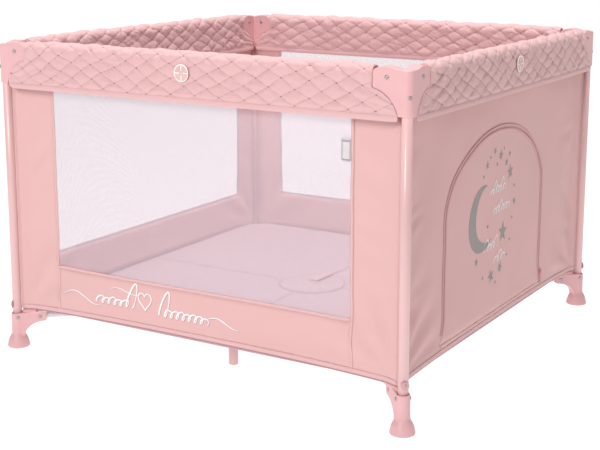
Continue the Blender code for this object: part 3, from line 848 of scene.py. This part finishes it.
def add_window_wall(side):
    """A wall with a netting window: canvas round it, the net, its tapes, seams and hem."""
    half, (wide, low) = WALL_HALF[side], WINDOW[side]
    cloth = wall_piece(side, f"wall_{side}_canvas", wall_grid(side), "canvas", "canvas", CANVAS,
                       node="side_panel_" + side)
    net_xs = fitted(-wide - 0.004, wide + 0.004, 0.02)
    net_zs = fitted(low - 0.004, WALL_TOP, 0.02)

    def net_place(x, z):
        slack = smooth_step(wide - np.abs(x), 0.0, 0.1)
        slack = slack * smooth_step(z - low, 0.0, 0.1) * smooth_step(0.66 - z, 0.0, 0.1)
        wave = 0.0022 * slack * wave_noise(x, z, 0.5, 40 + SIDES[side])
        return on_side(side, x, WALL_MID + 0.0005 + bulge(side, x, z) * (1 - slack) + wave, z)

    net = wall_piece(side, f"wall_{side}_net", grid(net_xs, net_zs, net_place), "net", "netting")
    trims = []
    for end, tag in ((-1, "a"), (1, "b")):
        seam = line(end * wide, hem_height(wide) + 0.006, end * wide, SHOULDER + 0.001)
        trims.append(ribbon(side, seam, 0.007, 0.0009, "canvas_trim", f"wall_{side}_tape_{tag}"))
        for shift, mark in ((-0.0022, "1"), (0.0022, "2")):
            trims.append(stitch_row(side, seam + [shift, 0.0], 0.0017, f"wall_{side}_stitch_{tag}{mark}"))
    sill = line(-wide, low, wide, low)
    trims.append(ribbon(side, sill, 0.007, 0.0013, "canvas_trim", f"wall_{side}_tape_sill"))
    trims.append(stitch_row(side, sill - [0, 0.0022], 0.0021, f"wall_{side}_stitch_sill"))
    trims += add_hem(side) + add_sleeves(side)


def add_hem(side):
    """The bound lower edge, its stitches, and a band of the floor's cloth below it, painted darker as shade
    under the hem.
    """
    name = f"wall_{side}_"
    return [ribbon(side, hem_path(side, 0.0055), 0.011, 0.0005, "binding", name + "hem", crown=0.0004),
            stitch_row(side, hem_path(side, 0.0096), 0.0014, name + "hem_stitch"),
            # Painted shade: the darker band set back under the hem.
            ribbon(side, hem_path(side, -0.0014), 0.0060, -0.0022, "under_band", name + "under_band",
                   crown=0.0008)]


# ---- the door side ----
def arch_path(inset, step=0.010):
    """The door's edge from its front lower corner, up and over to the rear one, in (x, z)."""
    half, rise = DOOR_HALF - inset, DOOR_RISE - inset
    low_half = DOOR_LOW_HALF - inset
    up = int((DOOR_SPRING - DOOR_LOW) / step)
    points = []
    for k in range(up):
        t = k / up
        flare = (low_half - half) * max(0.0, 1 - t * (DOOR_SPRING - DOOR_LOW) / 0.06) ** 2
        points.append((-half - flare, DOOR_LOW + t * (DOOR_SPRING - DOOR_LOW)))
    turns = 60
    for k in range(turns + 1):
        angle = math.pi * (1 - k / turns)
        points.append((half * math.cos(angle), DOOR_SPRING + rise * math.sin(angle)))
    points += [(-x, z) for x, z in reversed(points[:up])]
    return np.array([(x + DOOR_Y, z) for x, z in points])


def zip_teeth(side, path, lift, name, body, pitch=0.0024):
    """A row of coil teeth along a path."""
    length = run_length(path)
    bm = bmesh.new()
    for t in np.arange(0, length[-1], pitch):
        a, b = point_at(t, length, path), point_at(t + 0.001, length, path)
        along = (b - a) / max(np.linalg.norm(b - a), 1e-9)
        aside = np.array([-along[1], along[0]])
        foot = np.array([a + along * i * 0.0007 + aside * j * 0.0012
                         for i, j in ((-1, -1), (1, -1), (1, 1), (-1, 1))])
        add_stud(bm, side, foot, a + (foot - a) * 0.6, lift, 0.0009)
    return wall_piece(side, name, to_mesh(bm), "zip_plastic", "grey_plastic", body=body, smooth=False)


def doorway_grid(side):
    """The wall round the doorway: rings of quads from the door's edge out to the wall's edge."""
    half, step = WALL_HALF[side], 0.008
    hem = [(x, float(hem_height(x))) for x in fitted(DOOR_Y, half, step)]
    front = [(half, z) for z in fitted(hem[-1][1], SHOULDER, step)[1:]]
    front += [(x, SHOULDER) for x in fitted(half, NECK, step)[1:]]
    front += [(NECK, z) for z in fitted(SHOULDER, WALL_TOP, step)[1:]]
    top = [(x, WALL_TOP) for x in fitted(NECK, -NECK, step)[1:]]
    back = [(-NECK, z) for z in fitted(WALL_TOP, SHOULDER, step)[1:]]
    back += [(x, SHOULDER) for x in fitted(-NECK, -half, step)[1:]]
    back += [(-half, z) for z in fitted(SHOULDER, float(hem_height(half)), step)[1:]]
    back += [(x, float(hem_height(x))) for x in fitted(-half, DOOR_Y, step)[1:-1]]
    outer = np.array(hem + front + top + back)
    door = arch_path(0.0, 0.003)
    sill = line(door[-1][0], DOOR_LOW, door[0][0], DOOR_LOW, 0.003)[1:-1]
    door = np.concatenate([door, sill])
    middle = np.array([DOOR_Y, 0.33])
    angles = np.arctan2(door[:, 1] - middle[1], door[:, 0] - middle[0])
    order = np.argsort(angles)
    reach = np.hypot(*(door - middle).T)[order]
    turn = np.arctan2(outer[:, 1] - middle[1], outer[:, 0] - middle[0])
    radius = np.interp(turn, angles[order], reach, period=math.tau)
    inner = middle + radius[:, None] * np.stack([np.cos(turn), np.sin(turn)], 1)
    count = len(outer)

    def spot(k, w):
        k = np.round(k).astype(int) % count
        flat = inner[k] + (outer[k] - inner[k]) * w[..., None]
        return flat[..., 0], flat[..., 1]

    bm = bmesh.new()
    bm.from_mesh(grid(np.arange(count + 1), np.linspace(0, 1, 20),
                      lambda k, w: on_wall(side, *spot(k, w)), flat=spot))
    bmesh.ops.remove_doubles(bm, verts=bm.verts, dist=1e-6)
    return to_mesh(bm, outward=False)


def flap_grid(side):
    """The door's cloth: rows across, from its foot to the top of its arch."""
    inset = 0.0015
    half, rise = DOOR_HALF - inset, DOOR_RISE - inset
    low = DOOR_LOW + inset
    straight = fitted(low, DOOR_SPRING, 0.010)
    angles = np.linspace(0, math.pi / 2 - 0.01, 36)[1:]
    zs = np.concatenate([straight, DOOR_SPRING + rise * np.sin(angles)])
    flare = (DOOR_LOW_HALF - DOOR_HALF) * np.clip(1 - (straight - DOOR_LOW) / 0.06, 0, 1) ** 2
    wides = np.concatenate([half + flare, half * np.cos(angles)])

    def spot(u, z):
        return DOOR_Y + u * np.interp(z, zs, wides), z

    return grid(np.linspace(-1, 1, 71), zs, lambda u, z: on_wall(side, *spot(u, z)), flat=spot)


def add_door_wall():
    side, low = "right", DOOR_LOW
    wall = wall_piece(side, "wall_right_canvas", doorway_grid(side), "canvas", "canvas", CANVAS,
                      node="side_panel_right")
    flap = wall_piece(side, "door_canvas", flap_grid(side), "canvas", "canvas", CANVAS, "door_flap",
                      node="door_flap")
    trims = {"wall": [], "door": []}
    bodies = {"wall": WALL_BODY[side], "door": "door_flap"}
    for inset, tag in ((-0.0042, "wall"), (0.0058, "door")):
        path = arch_path(inset)[2:-2]
        trims[tag].append(ribbon(side, path, 0.0070, 0.0010, "zip_tape", "zip_tape_" + tag, "webbing",
                                 0.0009, bodies[tag]))
    for inset, tag in ((-0.0006, "wall"), (0.0020, "door")):
        path = arch_path(inset)[2:-2]
        trims[tag].append(zip_teeth(side, path, 0.0009, "zip_teeth_" + tag, bodies[tag]))
    for inset, tag in ((-0.0066, "wall"), (0.0082, "door")):
        path = arch_path(inset)[2:-2]
        trims[tag].append(stitch_row(side, path, 0.0016, "zip_stitch_" + tag, bodies[tag]))
    fold_line = line(DOOR_Y - 0.300, low - 0.004, DOOR_Y + 0.300, low - 0.004)
    trims["wall"].append(ribbon(side, fold_line, 0.008, 0.0004, "canvas_trim", "door_hinge_tape",
                                crown=0.0003))
    trims["wall"] += add_hem(side) + add_sleeves(side)
    add_slider()


def add_slider():
    """The zip's slider and its hanging pull, moulded."""
    low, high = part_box("zip_slider")
    x0, y0, foot, top = low[0], (low[1] + high[1]) / 2, low[2], high[2]
    body = box((x0, y0 - 0.0040, top - 0.0125), (x0 + 0.0048, y0 + 0.0040, top))
    nose = box((x0 + 0.002, y0 - 0.0020, top - 0.010), (x0 + 0.0056, y0 + 0.0020, top - 0.003))
    pull = box((x0 + 0.0030, y0 - 0.0028, foot), (x0 + 0.0044, y0 + 0.0028, top - 0.008))
    hole = rod(0.0012, (x0 - 0.01, y0, foot + 0.004), (x0 + 0.02, y0, foot + 0.004), 20)
    mesh = moulded(body, joins=[nose, pull], cuts=[hole], voxel=0.0004)
    wall_piece("right", "zip_puller", mesh, "zip_plastic", "grey_plastic", body="zip_slider",
               node="zip_slider")


# ---- prints ----
def star_outline(x, z, size, turn=0.0, points=5, depth=0.42):
    spokes = [(size * (depth if k % 2 else 1), turn + math.pi * k / points) for k in range(2 * points)]
    return [(x + reach * math.sin(angle), z + reach * math.cos(angle)) for reach, angle in spokes]


def dot_outline(x, z, size):
    return [(x + dx, z + dz) for dx, dz in circle(size, 14)]


def strip_between(first, second, closed=False):
    """Quads between two rows of points."""
    count = len(first)
    pairs = [(k, (k + 1) % count) for k in range(count if closed else count - 1)]
    return [[tuple(first[k]), tuple(first[j]), tuple(second[j]), tuple(second[k])] for k, j in pairs]


def filled(outline):
    """A small closed shape as a ring of quads round a fan of triangles."""
    outline = np.array(outline)
    middle = outline.mean(axis=0)
    inner = middle + (outline - middle) * 0.5
    count = len(outline)
    fan = [[tuple(inner[k]), tuple(inner[(k + 1) % count]), tuple(middle)] for k in range(count)]
    return strip_between(outline, inner, closed=True) + fan


def crescent(x, z, size, turn):
    """A thin moon between an outer circle and a shifted inner one."""
    shift, inner_r = 0.38, 0.86
    horn = math.acos((1 + shift**2 - inner_r**2) / (2 * shift))
    a = np.linspace(horn + 0.01, math.tau - horn - 0.01, 56)
    outer = np.stack([np.cos(a), np.sin(a)], 1)
    edge = math.atan2(math.sin(horn), math.cos(horn) - shift)
    a = np.linspace(edge + 0.01, math.tau - edge - 0.01, 56)
    inner = np.stack([shift + inner_r * np.cos(a), inner_r * np.sin(a)], 1)
    faces = []
    for low, high in ((0.0, 0.34), (0.34, 0.67), (0.67, 1.0)):
        faces += strip_between(outer + (inner - outer) * low, outer + (inner - outer) * high)
    c, s = math.cos(turn), math.sin(turn)
    return [[(x + size * (c * px - s * py), z + size * (s * px + c * py)) for px, py in face]
            for face in faces]


def printed(side, outlines, name, look, body, lift=0.00075):
    """Flat ink shapes just off a wall's cloth."""
    bm = bmesh.new()
    for outline in outlines:
        bm.faces.new([bm.verts.new((x, z, 0)) for x, z in outline])
    bmesh.ops.remove_doubles(bm, verts=bm.verts, dist=1e-6)
    flat = np.array([v.co[:] for v in bm.verts])
    for vert, point in zip(bm.verts, on_wall(side, flat[:, 0], flat[:, 1], lift)):
        vert.co = point
    wall_piece(side, name, to_mesh(bm, outward=False), look, "print", 0.00015, body, smooth=False)


def stroke(path, widths):
    """An outline of varying width along (x, z) points."""
    aside = directions(path) * widths[:, None] / 2
    return [tuple(p) for p in path + aside] + [tuple(p) for p in (path - aside)[::-1]]


def quads_of(path, widths):
    """A stroke as short quads, so that a long curve has no twisted faces."""
    return [stroke(path[k:k + 2], widths[k:k + 2]) for k in range(len(path) - 1)]


def loops(x0, x1, z, heights, thick, lean=0.35):
    """A row of pen loops of changing height, an ornament that spells nothing."""
    t = np.linspace(0, 1, 26 * len(heights))
    turn = math.tau * len(heights) * t
    tall = np.interp(t * len(heights) - 0.5, np.arange(len(heights)), heights)
    step = (x1 - x0) / len(heights)
    up = tall * (1 - np.cos(turn)) / 2
    xs = x0 + (x1 - x0) * t - 0.62 * step * np.sin(turn) * 0.6 + lean * up
    widths = thick * (0.55 + 0.6 * np.abs(np.sin(turn / 2 + 0.6)))
    return quads_of(np.stack([xs, z + up], 1), widths)


def add_door_print():
    """A moon with stars, dots and pen loops, of this model's own design, for the printed motif."""
    x, z, big = DOOR_Y - 0.026, 0.366, 1.14
    shapes = crescent(x - 0.052 * big, z + 0.004, 0.070 * big, math.radians(14))
    stars = [(0.040, 0.122, 0.013, 0.2), (0.006, 0.136, 0.009, 0.5), (0.096, 0.078, 0.019, -0.1),
             (0.122, 0.010, 0.009, 0.3), (0.062, -0.046, 0.025, 0.1), (0.000, -0.128, 0.017, -0.3),
             (0.048, -0.120, 0.014, 0.4), (-0.074, -0.082, 0.010, 0.1), (-0.036, 0.112, 0.010, -0.2),
             (0.072, 0.102, 0.010, 0.25), (0.088, 0.118, 0.008, 0.0)]
    for dx, dz, size, turn in stars:
        shapes += filled(star_outline(x + dx * big, z + dz * big, size * 1.06, turn))
    dots = [(-0.055, 0.092, 0.004), (0.020, 0.106, 0.0045), (0.056, 0.134, 0.0034), (0.122, 0.044, 0.004),
            (0.112, -0.024, 0.0034), (-0.022, -0.018, 0.0045), (0.100, -0.070, 0.004),
            (0.022, -0.146, 0.0034),
            (-0.044, -0.122, 0.0038), (0.084, -0.100, 0.0034), (-0.018, 0.126, 0.0034)]
    for dx, dz, size in dots:
        shapes += filled(dot_outline(x + dx * big, z + dz * big, size))
    printed("right", shapes, "door_print_grey", "grey_print", "door_flap")
    rows = [(-0.010, 0.066, 0.046, (0.010, 0.026, 0.014, 0.012, 0.028, 0.012)),
            (0.006, 0.092, 0.002, (0.012, 0.014, 0.024, 0.012, 0.014, 0.012)),
            (-0.036, 0.028, -0.070, (0.024, 0.012, 0.014, 0.024)),
            (0.016, 0.072, -0.104, (0.012, 0.022, 0.012))]
    white = []
    for x0, x1, dz, heights in rows:
        white += loops(x + x0 * big, x + x1 * big, z + dz * big, np.array(heights) * big, 0.0030)
    printed("right", white, "door_print_white", "white_print", "door_flap")


def add_front_print():
    """A long pen line with loops and a heart, in the place of the printed lettering."""
    middle = 0.152
    shapes = []
    u = np.linspace(0, 1, 60)
    for x0, x1, rise in ((-0.392, -0.280, 0.013), (0.028, 0.122, 0.010)):
        curve = np.stack([x0 + (x1 - x0) * u, middle + 0.004 + rise * np.sin(u * math.tau * 0.8)], 1)
        shapes += quads_of(curve, 0.0012 + 0.0018 * np.sin(u * math.pi))
    shapes += loops(-0.288, -0.180, middle, (0.017, 0.014, 0.018, 0.014, 0.015, 0.062), 0.0040)
    shapes += loops(-0.102, 0.034, middle - 0.006,
                    (0.062, 0.016, 0.018, 0.019, 0.016, 0.018, 0.017, 0.014), 0.0040)
    bar = np.stack([-0.246 + 0.096 * u, middle + 0.038 + 0.005 * np.sin(u * math.tau)], 1)
    shapes += quads_of(bar, 0.0010 + 0.0016 * np.sin(u * math.pi))
    angle = np.linspace(0, math.tau, 60)
    heart_x = -0.142 + 0.0012 * 16 * np.sin(angle) ** 3
    heart_z = middle + 0.024 + 0.0015 * (13 * np.cos(angle) - 5 * np.cos(2 * angle)
                                         - 2 * np.cos(3 * angle) - np.cos(4 * angle))
    shapes += quads_of(np.stack([heart_x, heart_z], 1), np.full(60, 0.0032))
    shadow = [[(x + 0.0012, z - 0.0014) for x, z in face] for face in shapes]
    printed("front", shadow, "front_print_edge", "shadow_print", "leg_fl", lift=0.00060)
    printed("front", shapes, "front_print", "white_print", "leg_fl", lift=0.00090)


def add_label():
    """A small blank loop label in the window's seam."""
    outer, low = WINDOW["front"][0] - 0.001, 0.560
    width, long = 0.024, 0.047

    def place(u, v):
        curl = 0.0035 * np.sin(u / width * math.pi) + 0.0012 * np.sin(v / long * math.pi * 2)
        return on_side("front", outer - u - 0.002 * v / long, WALL_MID - 0.0022 - curl, low + v)

    def rim(u, v):
        return np.maximum(np.abs(u / width - 0.5), np.abs(v / long - 0.5)) > 0.38

    tag = grid(np.linspace(0, width, 12), np.linspace(0, long, 20), place)
    tag = wall_piece("front", "window_label", tag, "label", "webbing", 0.0007)
    edge = grid(np.linspace(0.0015, width - 0.0015, 24), np.linspace(0.002, long - 0.002, 36),
                lambda u, v: place(u, v) - [0, 0.0006, 0], rim)
    edge = wall_piece("front", "window_label_rim", edge, "label_frame", "webbing")


# ---- rail covers ----
def cover_section():
    """The cover's section as (y, z) points at even steps of girth, from the outer hem over the top."""
    wide, top = COVER_HALF - 0.0030, COVER_TOP - 0.0030
    low, spring = COVER_LOW + 0.0005, COVER_TOP - 0.0215
    dense = [(-wide, z) for z in np.linspace(low, spring, 80)]
    dense += [(-wide * math.cos(a) ** 0.9, spring + (top - spring) * math.sin(a) ** 0.9)
              for a in np.linspace(0, math.pi / 2, 60)[1:]]
    dense = np.array(dense)
    dense = np.concatenate([dense, (dense * [-1, 1])[::-1][1:]])
    return dense, run_length(dense)


SECTION, GIRTH = cover_section()
LOOSE_END = {("front", -1): 0.024, ("right", 1): 0.015, ("back", 1): 0.012}   # ends that sit loose


def ear_gap(z, inner, slack):
    """Distance from the leg's axis to the cover's end at a height: it follows the bracket's lower
    curve, and its lower corner is rounded off by slack."""
    x0, z0, radius = EAR_CURVE
    reach = np.clip(z - z0, 0, radius - 0.0012)
    curve = x0 - np.sqrt(radius**2 - reach**2) + 0.0014
    end = np.where(z >= 0.7208, EAR_END + 0.0014, curve)
    drop = np.clip((COVER_LOW + 1.6 * slack - z) / (1.6 * slack), 0, 1)
    rounded = slack * (1 - np.sqrt(np.maximum(1 - drop**2, 0)))
    return np.maximum(end, np.where(inner, 0.0225, 0.0142)) + rounded


def quilt_place(side, x, g):
    """The quilting's own coordinates, which wander a little from the straight ones."""
    seed = 200 + SIDES[side]
    along = x + 0.0050 * wave_noise(x, g, 0.16, seed) + 0.0016 * wave_noise(x, g, 0.05, seed + 1)
    across = g + 0.0026 * wave_noise(x, g, 0.14, seed + 2) + 0.0010 * wave_noise(x, g, 0.05, seed + 3)
    return along, across


def puff(side, x, g):
    """How far the quilted cloth stands out: diamonds, puckers along the stitching, and gathers."""
    total = GIRTH[-1]
    along, across = quilt_place(side, x, g)
    cross, run = along / DIAMOND[0] + across / DIAMOND[1], along / DIAMOND[0] - across / DIAMOND[1]
    a = np.abs((cross + 0.5) % 1 - 0.5)
    b = np.abs((run + 0.5) % 1 - 0.5)
    pad = (np.sin(math.pi * a) * np.sin(math.pi * b)) ** 0.38
    if side == "right":
        cross, run = run, cross
    drawn = wave_noise(cross, run * 0.20, 0.36, 300 + SIDES[side], 9)
    patchy = np.clip(0.55 + 0.6 * wave_noise(x, g, 0.10, 310 + SIDES[side]), 0, 1.3)
    streak = np.exp(-(drawn / 0.30) ** 2) * patchy
    seed = 70 + SIDES[side]
    uneven = 1 + 0.30 * wave_noise(x, g, 0.09, seed)
    near = np.exp(-(np.minimum(a, b) / 0.13) ** 2)
    pucker = 0.0007 * near * wave_noise(x, g * 0.55, 0.011, seed + 3, 9)
    crease = 0.0007 * np.abs(wave_noise(x + g * 1.9, g * 0.4, 0.030, seed + 11)) * (0.4 + 0.6 * near)
    hem = smooth_step(np.minimum(g, total - g), 0.009, 0.022)
    from_end = HALF - 0.05 - np.abs(x)
    fan = np.arctan2(np.minimum(g, total - g) - 0.02, from_end + 0.05)
    gather = 0.0019 * np.exp(-((from_end - 0.015) / 0.055) ** 2)
    gather = gather * np.sin(fan * 21 + 1.5 * wave_noise(x, g, 0.09, seed + 5))
    calm = 0.35 + 0.65 * smooth_step(HALF - EAR_END - np.abs(x), -0.006, 0.030)
    bump = 0.0026 * np.exp(-((x + HALF - 0.050) ** 2 + (g - 0.046) ** 2) / 0.011**2) * (side == "front")
    soft = 0.0036 * pad * uneven - 0.0013 * streak
    return bump + calm * hem * (soft + pucker - crease + gather + 0.0008 * wave_noise(x, g, 0.16, seed + 9))


def cover_point(side, end, t, g, lift):
    """A point on half a cover: t from the side's middle (0) to the bracket (1), g along the girth.
    Past 1, the cloth turns in towards the bracket's cheek."""
    y, z = [np.interp(g, GIRTH, SECTION[:, axis]) for axis in (0, 1)]
    slope_y, slope_z = [np.interp(g + 0.001, GIRTH, SECTION[:, axis])
                        - np.interp(g - 0.001, GIRTH, SECTION[:, axis]) for axis in (0, 1)]
    size = np.maximum(np.hypot(slope_y, slope_z), 1e-9)
    slack = LOOSE_END.get((side, end), 0.006)
    reach = HALF - ear_gap(z, y > 0, slack)
    body, full = np.minimum(t, 1), HALF - EAR_END - 0.0014
    x = 0.00005 + body * full
    x = x + smooth_step(body, 0.55, 1.0) * (reach - full) * body
    along = end * x
    turn_in = np.clip((t - 1) / 0.03, 0, 1)
    neck = 0.0020 * smooth_step(body, 0.955, 1.0) * (slack < 0.01)
    lifted = puff(side, along, g) * (1 - turn_in**1.5) + lift - 0.0032 * turn_in**2 - neck
    x = x + 0.0011 * np.sin(turn_in * math.pi / 2)
    return along, (end * x, y - slope_z / size * lifted, z + slope_y / size * lifted)


def add_cover(side, half, end):
    body, name, total = f"rail_{side}_{half}", f"cover_{side}_{half}", GIRTH[-1]
    ts = np.concatenate([np.linspace(0, 1, 190), np.linspace(1, 1.03, 7)[1:]])

    def place(t, g):
        return on_side(side, *cover_point(side, end, t, g, 0.0)[1])

    def flat(t, g):
        return quilt_place(side, cover_point(side, end, t, g, 0.0)[0] + np.maximum(t - 1, 0) * 0.1, g)

    cloth = grid(ts, np.linspace(0, total, 118), place, flat=flat)
    cloth = cover_piece(name, cloth, "quilt", body, 0.0010, -end, node=f"rail_cover_{side}_{half}")
    for start, tag in ((0.0, "out"), (total - BINDING, "in")):
        def bind(t, g, start=start):
            swell = 0.0006 + 0.0008 * np.sin(np.clip((g - start) / BINDING, 0, 1) * math.pi)
            return on_side(side, *cover_point(side, end, t, g, swell)[1])

        edge = grid(np.linspace(0, 1.02, 80), np.linspace(start, start + BINDING, 9), bind)
        cover_piece(f"{name}_binding_{tag}", edge, "binding", body, 0.0006)


def add_covers():
    for side, halves in HALVES.items():
        for end, half in zip((-1, 1), halves):
            add_cover(side, half, end)
        add_badge(side)


def badge_ring():
    bm = bmesh.new()
    rings = [[bm.verts.new((x * (0.0184 + dr), y * (0.0184 + dr), 0.0012 + dz))
              for dr, dz in ((0.0013 * math.cos(b), 0.0009 * math.sin(b))
                             for b in (math.tau * j / 8 for j in range(8)))]
             for x, y in circle(1, 64)]
    for j in range(8):
        bridge(bm, [ring[j] for ring in rings], [ring[(j + 1) % 8] for ring in rings])
    return to_mesh(bm)


def badge_cross():
    bm = bmesh.new()
    arm = ((0.0052, -0.0013), (0.0168, -0.0010), (0.0168, 0.0010), (0.0052, 0.0013))
    for angle in (0, 90, 180, 270):
        bm.faces.new([bm.verts.new(spin(angle) @ Vector((u, v, 0.0013))) for u, v in arm])
    return to_mesh(bm)


def add_badge(side):
    """A plain round badge on a stem that marks the release in the middle of a rail."""
    z, face, body = 0.722, -COVER_HALF - 0.0012, "latch_" + side
    disc = turned([(0.0150, 0.0), (0.0192, 0.0004), (0.0192, 0.0011), (0.0178, 0.0015), (0.0172, 0.0010),
                   (0.0080, 0.0010), (0.0074, 0.0014), (0.0066, 0.0014)])
    turn = side_turn(side) @ Matrix.Translation((0, face, z)) @ UPRIGHT
    stem = rod(0.006, (0, -0.0146, RAIL_Z - 0.012), (0, face + 0.0045, z), 24)
    badge = add("badge_" + side, moved(disc, turn), "badge", body, "grey_plastic")
    badge.data.set_sharp_from_angle(angle=math.radians(35))
    add("badge_ring_" + side, moved(badge_ring(), turn), "white_print", body, "grey_plastic")
    add("badge_stem_" + side, moved(stem, side_turn(side)), "grey_plastic", body, "grey_plastic")
    cross = add("badge_cross_" + side, moved(badge_cross(), turn), "white_print", body, "grey_plastic",
                smooth=False)
    thicken(cross, 0.0012)


# ---- floor ----
def floor_outline():
    """A floor quarter in the plan, from the leg's axis, with the corner cut and the hub's arc."""
    edge = HALF - FLOOR_EDGE
    trim, seam, hole = 0.075 * math.sqrt(2) - edge, HALF - 0.0006, 0.0852
    points = [(edge, trim), (trim, edge)]
    points += [(x, edge) for x in np.linspace(trim, seam, 40)[1:]]
    points += [(seam, y) for y in np.linspace(edge, HALF - hole, 40)[1:-1]]
    for a in np.linspace(0, math.pi / 2, 12):
        points.append((min(HALF - hole * math.sin(a), seam), min(HALF - hole * math.cos(a), seam)))
    points += [(x, seam) for x in np.linspace(HALF - hole, edge, 40)[1:]]
    points += [(edge, y) for y in np.linspace(seam, trim, 40)[1:-1]]
    return points


def floor_mesh():
    """A thin mat: filled outline, rounded rim, and a top that swells between its seams."""
    outline = floor_outline()
    bm = bmesh.new()
    verts = [bm.verts.new((x, y, 0)) for x, y in outline]
    bm.faces.new(verts)
    bmesh.ops.triangulate(bm, faces=bm.faces)
    for _ in range(7):
        long = [e for e in bm.edges if e.calc_length() > 0.022]
        if not long:
            break
        bmesh.ops.subdivide_edges(bm, edges=long, cuts=1)
        bmesh.ops.triangulate(bm, faces=bm.faces)
        bmesh.ops.beautify_fill(bm, faces=bm.faces, edges=bm.edges)
    flat = np.array([v.co.xy[:] for v in bm.verts])
    bm.verts.index_update()
    faces = [[v.index for v in f.verts] for f in bm.faces]
    rim = np.array([any(e.is_boundary for e in v.link_edges) for v in bm.verts])
    bm.free()
    ring = np.array(outline)
    gap = np.array([np.min(np.hypot(ring[:, 0] - x, ring[:, 1] - y)) for x, y in flat])
    swell = smooth_step(gap, 0.0, 0.03)
    crown = 0.0010 * wave_noise(flat[:, 0], flat[:, 1], 0.25, 31) * smooth_step(gap, 0.02, 0.12)
    top = FLOOR_TOP - 0.0042 * (1 - swell) - 0.0012 + crown * 0.8
    low = FLOOR_LOW + 0.0030 * (1 - swell)
    points = [(x, y, z) for (x, y), z in zip(flat, top)] + [(x, y, z) for (x, y), z in zip(flat, low)]
    count = len(flat)
    made = [list(f) for f in faces] + [[i + count for i in reversed(f)] for f in faces]
    edges = {}
    for f in faces:
        for a, b in zip(f, f[1:] + f[:1]):
            edges[(a, b)] = edges.get((a, b), 0) + 1
    for a, b in list(edges):
        if (b, a) not in edges and rim[a] and rim[b]:
            made.append([b, a, a + count, b + count])
    mesh = bpy.data.meshes.new("mat")
    mesh.from_pydata(points, [], made)
    return plan_uvs(mesh)


def add_floor():
    mesh = floor_mesh()
    for corner in CORNERS:
        turn = corner_turn(corner)
        mat = add("mat_" + corner, moved(mesh, turn @ spin(-45)), "floor", "arm_" + corner, "floor_fabric",
                  "floor_" + corner)
        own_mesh(mat)
    patch = turned([(0.0800, FLOOR_LOW + 0.001), (0.0838, FLOOR_LOW + 0.003),
                    (0.0842, FLOOR_TOP - 0.005), (0.0825, FLOOR_TOP - 0.0022),
                    (0.0760, FLOOR_TOP - 0.0008), (0.0300, FLOOR_TOP - 0.0004),
                    (0.0010, FLOOR_TOP - 0.0004)], 96)
    slit = box((-0.0145, -0.003, 0), (0.0145, 0.003, 0.2))
    disc = plan_uvs(moulded(patch, cuts=[slit], voxel=0.0016, smoothing=3))
    centre = add("mat_centre", disc, "floor", "hub", "floor_fabric", "floor_centre")
    add_strap()


def add_strap():
    """The webbing loop that lifts the hub: up through the floor, folded over and stitched."""
    low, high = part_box("pull_strap")
    lift, half = FLOOR_TOP + 0.0014, (high[0] - low[0]) / 2
    path = [(0.0, low[2]), (0.0, FLOOR_TOP - 0.004), (0.0010, FLOOR_TOP - 0.0005), (0.004, lift)]
    path += [(y, lift + 0.0012 * math.sin(y * 60)) for y in np.linspace(0.008, 0.080, 12)]
    path += [(0.0868, lift + 0.0006), (0.0890, lift + 0.0022), (0.0868, lift + 0.0040)]
    path += [(y, lift + 0.0036 + 0.0008 * math.sin(y * 50)) for y in np.linspace(0.080, 0.006, 12)]
    path = np.array(path)
    length = run_length(path)

    def place(u, v):
        return np.stack([v, *point_at(u, length, path)], -1)

    strap = grid(np.linspace(0, length[-1], 70), np.linspace(-half, half, 12), place)
    strap = add("lift_strap", strap, "webbing", "hub", "webbing", "pull_strap")
    thicken(strap, 0.0012)


# ---- stage ----
def add_stage():
    floor = new_object("studio_floor", box((-30, -30, -0.02), (30, 30, -0.0004)))
    paper = Look("studio_paper", Roughness=0.9, Specular_IOR_Level=0.1, Emission_Color=(1, 1, 1, 1),
                 Emission_Strength=0.91, Base_Color=(0.30, 0.30, 0.30, 1))
    floor.data.materials.append(paper.material)
    world = bpy.data.worlds.new("studio_world")
    world.use_nodes = True
    nodes, links = world.node_tree.nodes, world.node_tree.links
    nodes["Background"].inputs["Color"].default_value = (1.0, 0.99, 0.985, 1)
    nodes["Background"].inputs["Strength"].default_value = 0.31
    backdrop, choice, path = [nodes.new("ShaderNode" + kind)
                              for kind in ("Background", "MixShader", "LightPath")]
    backdrop.inputs["Color"].default_value = (1, 1, 1, 1)
    links.new(path.outputs["Is Camera Ray"], choice.inputs["Fac"])
    links.new(nodes["Background"].outputs[0], choice.inputs[1])
    links.new(backdrop.outputs[0], choice.inputs[2])
    links.new(choice.outputs[0], nodes["World Output"].inputs["Surface"])
    bpy.context.scene.world = world
    for name, at, size, power in (("key", (0.35, -5.2, 3.1), 1.8, 136),
                                  ("top", (0.25, 0.1, 4.7), 1.2, 162)):
        lamp = bpy.data.lights.new(name, "AREA")
        lamp.size = size
        lamp.energy = power
        obj = new_object(name, lamp)
        obj.location = at
        obj.rotation_euler = (AIM - Vector(at)).to_track_quat("-Z", "Y").to_euler()
    bpy.context.scene.view_settings.view_transform = "Standard"


def add_camera():
    """The product view: from the front right, a little above the rails."""
    camera = bpy.data.cameras.new("camera")
    camera.sensor_width = SENSOR
    camera.lens = 2.1 * SENSOR
    camera.shift_y = -0.096
    obj = new_object("camera", camera)
    obj.location = (1.6392, -2.7577, 1.0396)
    obj.rotation_euler = (math.radians(90) - 0.1905, 0.0, 0.5465)
    bpy.context.scene.camera = obj


add_camera()
add_stage()
add_legs()
add_base()
for window_side in WINDOW:
    add_window_wall(window_side)
add_door_wall()
add_door_print()
add_front_print()
add_label()
add_covers()
add_floor()
